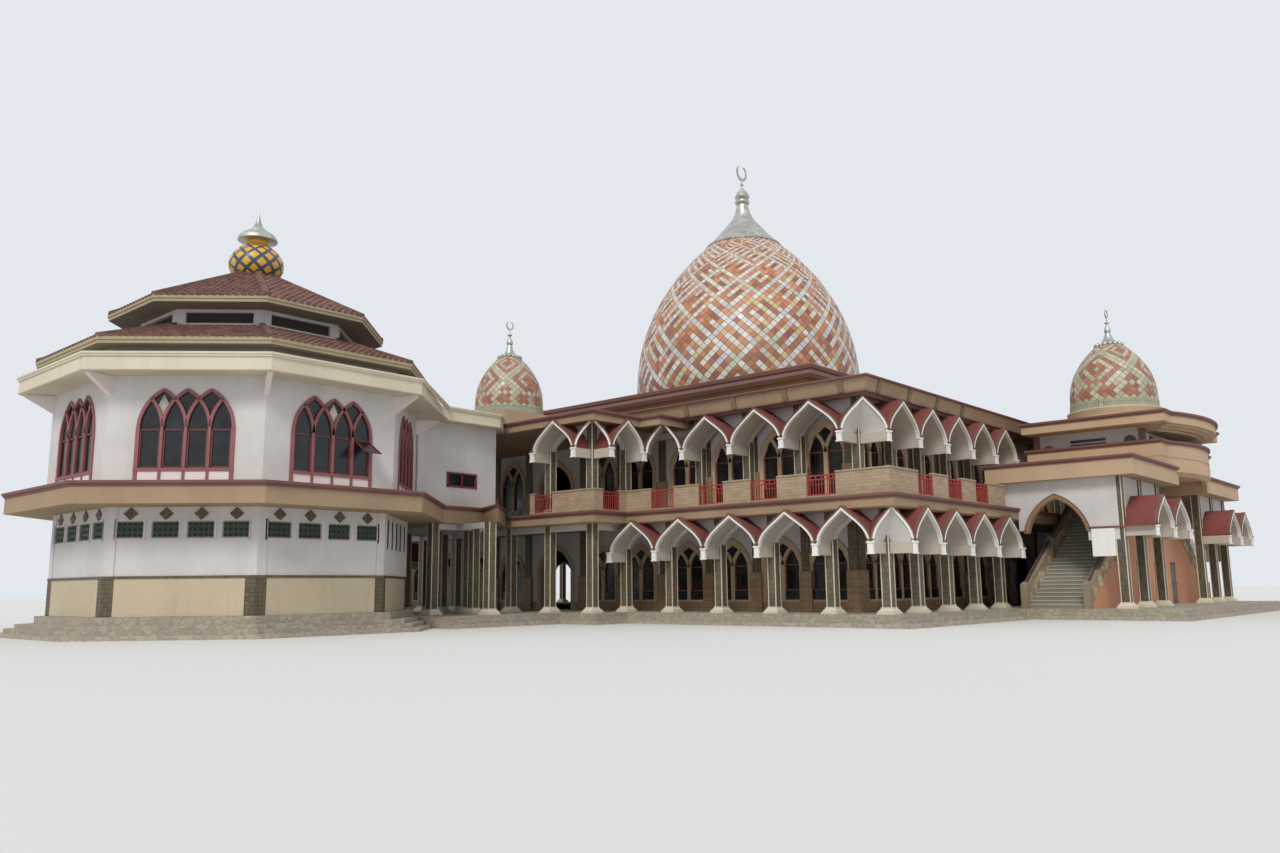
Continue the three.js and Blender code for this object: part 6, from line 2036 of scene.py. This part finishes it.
def lay_stage():
    """Floor, sky light, sun and the camera at the photograph's place."""
    clear_selection()
    bpy.ops.mesh.primitive_plane_add(size=400, location=(0, 0, 0))
    floor = bpy.context.active_object
    floor.name = "studio_floor"
    skin = Finish("studio_floor", 0.9)
    floor.data.materials.append(skin.done(skin.mix(skin.noise(0.02), tint(206, 205, 202),
        tint(216, 215, 212))))
    world = bpy.data.worlds.new("studio")
    bpy.context.scene.world = world
    world.use_nodes = True
    bpy.context.scene.view_settings.view_transform = "Standard"
    sky = world.node_tree.nodes["Background"].inputs
    sky["Color"].default_value = (0.86, 0.9, 0.95, 1)
    sky["Strength"].default_value = 0.9
    bpy.ops.object.light_add(type="SUN", rotation=(math.radians(48), 0, math.radians(28)))
    key = bpy.context.active_object
    key.name = "key_light"
    key.data.energy = 1.75
    key.data.angle = math.radians(18)
    key.data.color = (1.0, 0.96, 0.9)
    bpy.ops.object.camera_add(location=CAMERA_PLACE)
    camera = bpy.context.active_object
    camera.name = "photo_camera"
    camera.data.lens = CAMERA_LENS
    camera.data.sensor_width = SENSOR_WIDTH
    camera.data.clip_end = 500
    yaw, pitch, roll = CAMERA_TURN
    camera.matrix_world = (Matrix.Translation(camera.location) @ Matrix.Rotation(-yaw, 4,
        "Z") @ Matrix.Rotation(math.pi / 2 + pitch, 4, "X") @ Matrix.Rotation(-roll, 4, "Z"))
    bpy.context.scene.camera = camera


# Operators, panel and registration


def lay(*steps):
    """Runs an operator's steps, and raises an error where one of them makes no piece."""
    for step in steps:
        before = len(PIECES)
        step()
        if len(PIECES) == before:
            raise RuntimeError(f"{step.__name__} made no piece")
    return {"FINISHED"}


class HALL_OT_stage(Operator):
    """Floor, lights and camera"""
    bl_idname = "hall.stage"
    bl_label = "Stage"

    def execute(self, context):
        lay_stage()
        return {"FINISHED"}


class HALL_OT_main_dome(Operator):
    """The tiled main dome with its ring and silver cap"""
    bl_idname = "hall.main_dome"
    bl_label = "Main dome"

    def execute(self, context):
        return lay(lay_main_dome, lay_drum, lay_main_finial)


class HALL_OT_small_domes(Operator):
    """The four small domes with their tiled bands and caps"""
    bl_idname = "hall.small_domes"
    bl_label = "Small domes"

    def execute(self, context):
        return lay(lay_small_domes, lay_small_finials)


class HALL_OT_ledges(Operator):
    """The stepped mouldings of the hall's ledges and eaves"""
    bl_idname = "hall.ledges"
    bl_label = "Ledges and eaves"

    def execute(self, context):
        return lay(lay_ledge, lay_main_eave, lay_arm_eaves, lay_attic)


class HALL_OT_ground_arcades(Operator):
    """Canopies, spandrels and columns round the ground floor"""
    bl_idname = "hall.ground_arcades"
    bl_label = "Ground arcades"

    def execute(self, context):
        return lay(lay_ground_arcades)


class HALL_OT_upper_arcades(Operator):
    """Canopies, spandrels and columns round the upper floor"""
    bl_idname = "hall.upper_arcades"
    bl_label = "Upper arcades"

    def execute(self, context):
        return lay(lay_upper_arcades)


class HALL_OT_hall_walls(Operator):
    """Windows, door surrounds, dado and half columns of the hall"""
    bl_idname = "hall.hall_walls"
    bl_label = "Hall windows and walls"

    def execute(self, context):
        return lay(lay_hall_windows, lay_wall_trim)


class HALL_OT_parapets(Operator):
    """Tiled panels, picket rails and piers of the upper gallery"""
    bl_idname = "hall.parapets"
    bl_label = "Parapets"

    def execute(self, context):
        return lay(lay_parapets)


class HALL_OT_pavilion_walls(Operator):
    """Dado, vents and traceried windows of the pavilion"""
    bl_idname = "hall.pavilion_walls"
    bl_label = "Pavilion walls"

    def execute(self, context):
        return lay(lay_pavilion_wall_trim, lay_pavilion_windows)


class HALL_OT_pavilion_roofs(Operator):
    """Mouldings, roof tiles, hips and the yellow bulb"""
    bl_idname = "hall.pavilion_roofs"
    bl_label = "Pavilion roofs"

    def execute(self, context):
        return lay(lay_pavilion_mouldings, lay_pavilion_roofs, lay_clerestory_panes, lay_pavilion_finial)


class HALL_OT_link(Operator):
    """Columns and windows between the hall and the pavilion"""
    bl_idname = "hall.link"
    bl_label = "Link"

    def execute(self, context):
        return lay(lay_link)


class HALL_OT_porches(Operator):
    """Both porches with their arched end walls"""
    bl_idname = "hall.porches"
    bl_label = "Porches"

    def execute(self, context):
        return lay(lay_porches)


class HALL_OT_entrance_terrace(Operator):
    """Mouldings, soffit and upper room of the entrance"""
    bl_idname = "hall.entrance_terrace"
    bl_label = "Entrance terrace"

    def execute(self, context):
        return lay(lay_entrance_mouldings, lay_entrance_room_trim)


class HALL_OT_stairs(Operator):
    """Side walls, stone balustrades and newels of the stairs"""
    bl_idname = "hall.stairs"
    bl_label = "Stair walls"

    def execute(self, context):
        return lay(lay_stairs)


class HALL_OT_doors(Operator):
    """The two hinged doors under the landing"""
    bl_idname = "hall.doors"
    bl_label = "Doors"

    def execute(self, context):
        return lay(lay_doors)


class HALL_OT_plain_nodes(Operator):
    """Walls, floors and roofs that keep their own mesh"""
    bl_idname = "hall.plain_nodes"
    bl_label = "Plain surfaces"

    def execute(self, context):
        return lay(lay_plain_nodes)


STEPS = (
    HALL_OT_stage, HALL_OT_main_dome, HALL_OT_small_domes, HALL_OT_ledges, HALL_OT_ground_arcades,
    HALL_OT_upper_arcades, HALL_OT_hall_walls, HALL_OT_parapets, HALL_OT_pavilion_walls,
    HALL_OT_pavilion_roofs, HALL_OT_link, HALL_OT_porches, HALL_OT_entrance_terrace, HALL_OT_stairs,
    HALL_OT_doors, HALL_OT_plain_nodes,
)


class HALL_PT_pieces(Panel):
    """Lists the operators and the settings"""
    bl_idname = "HALL_PT_pieces"
    bl_label = "Domed prayer hall"
    bl_space_type = "VIEW_3D"
    bl_region_type = "UI"
    bl_category = "Prayer hall"

    def draw(self, context):
        for settings in (context.scene.hall_sizes, context.scene.hall_colours):
            for key in settings.__annotations__:
                self.layout.prop(settings, key)
        for step in STEPS:
            self.layout.operator(step.bl_idname)


CLASSES = (HallSizes, HallColours, *STEPS, HALL_PT_pieces)


def register():
    for entry in CLASSES:
        bpy.utils.register_class(entry)
    bpy.types.Scene.hall_sizes = PointerProperty(type=HallSizes)
    bpy.types.Scene.hall_colours = PointerProperty(type=HallColours)


def unregister():
    del bpy.types.Scene.hall_colours
    del bpy.types.Scene.hall_sizes
    for entry in reversed(CLASSES):
        bpy.utils.unregister_class(entry)


def main():
    register()
    for step in STEPS:
        group, name = step.bl_idname.split(".")
        getattr(getattr(bpy.ops, group), name)()


if __name__ == "__main__":
    main()
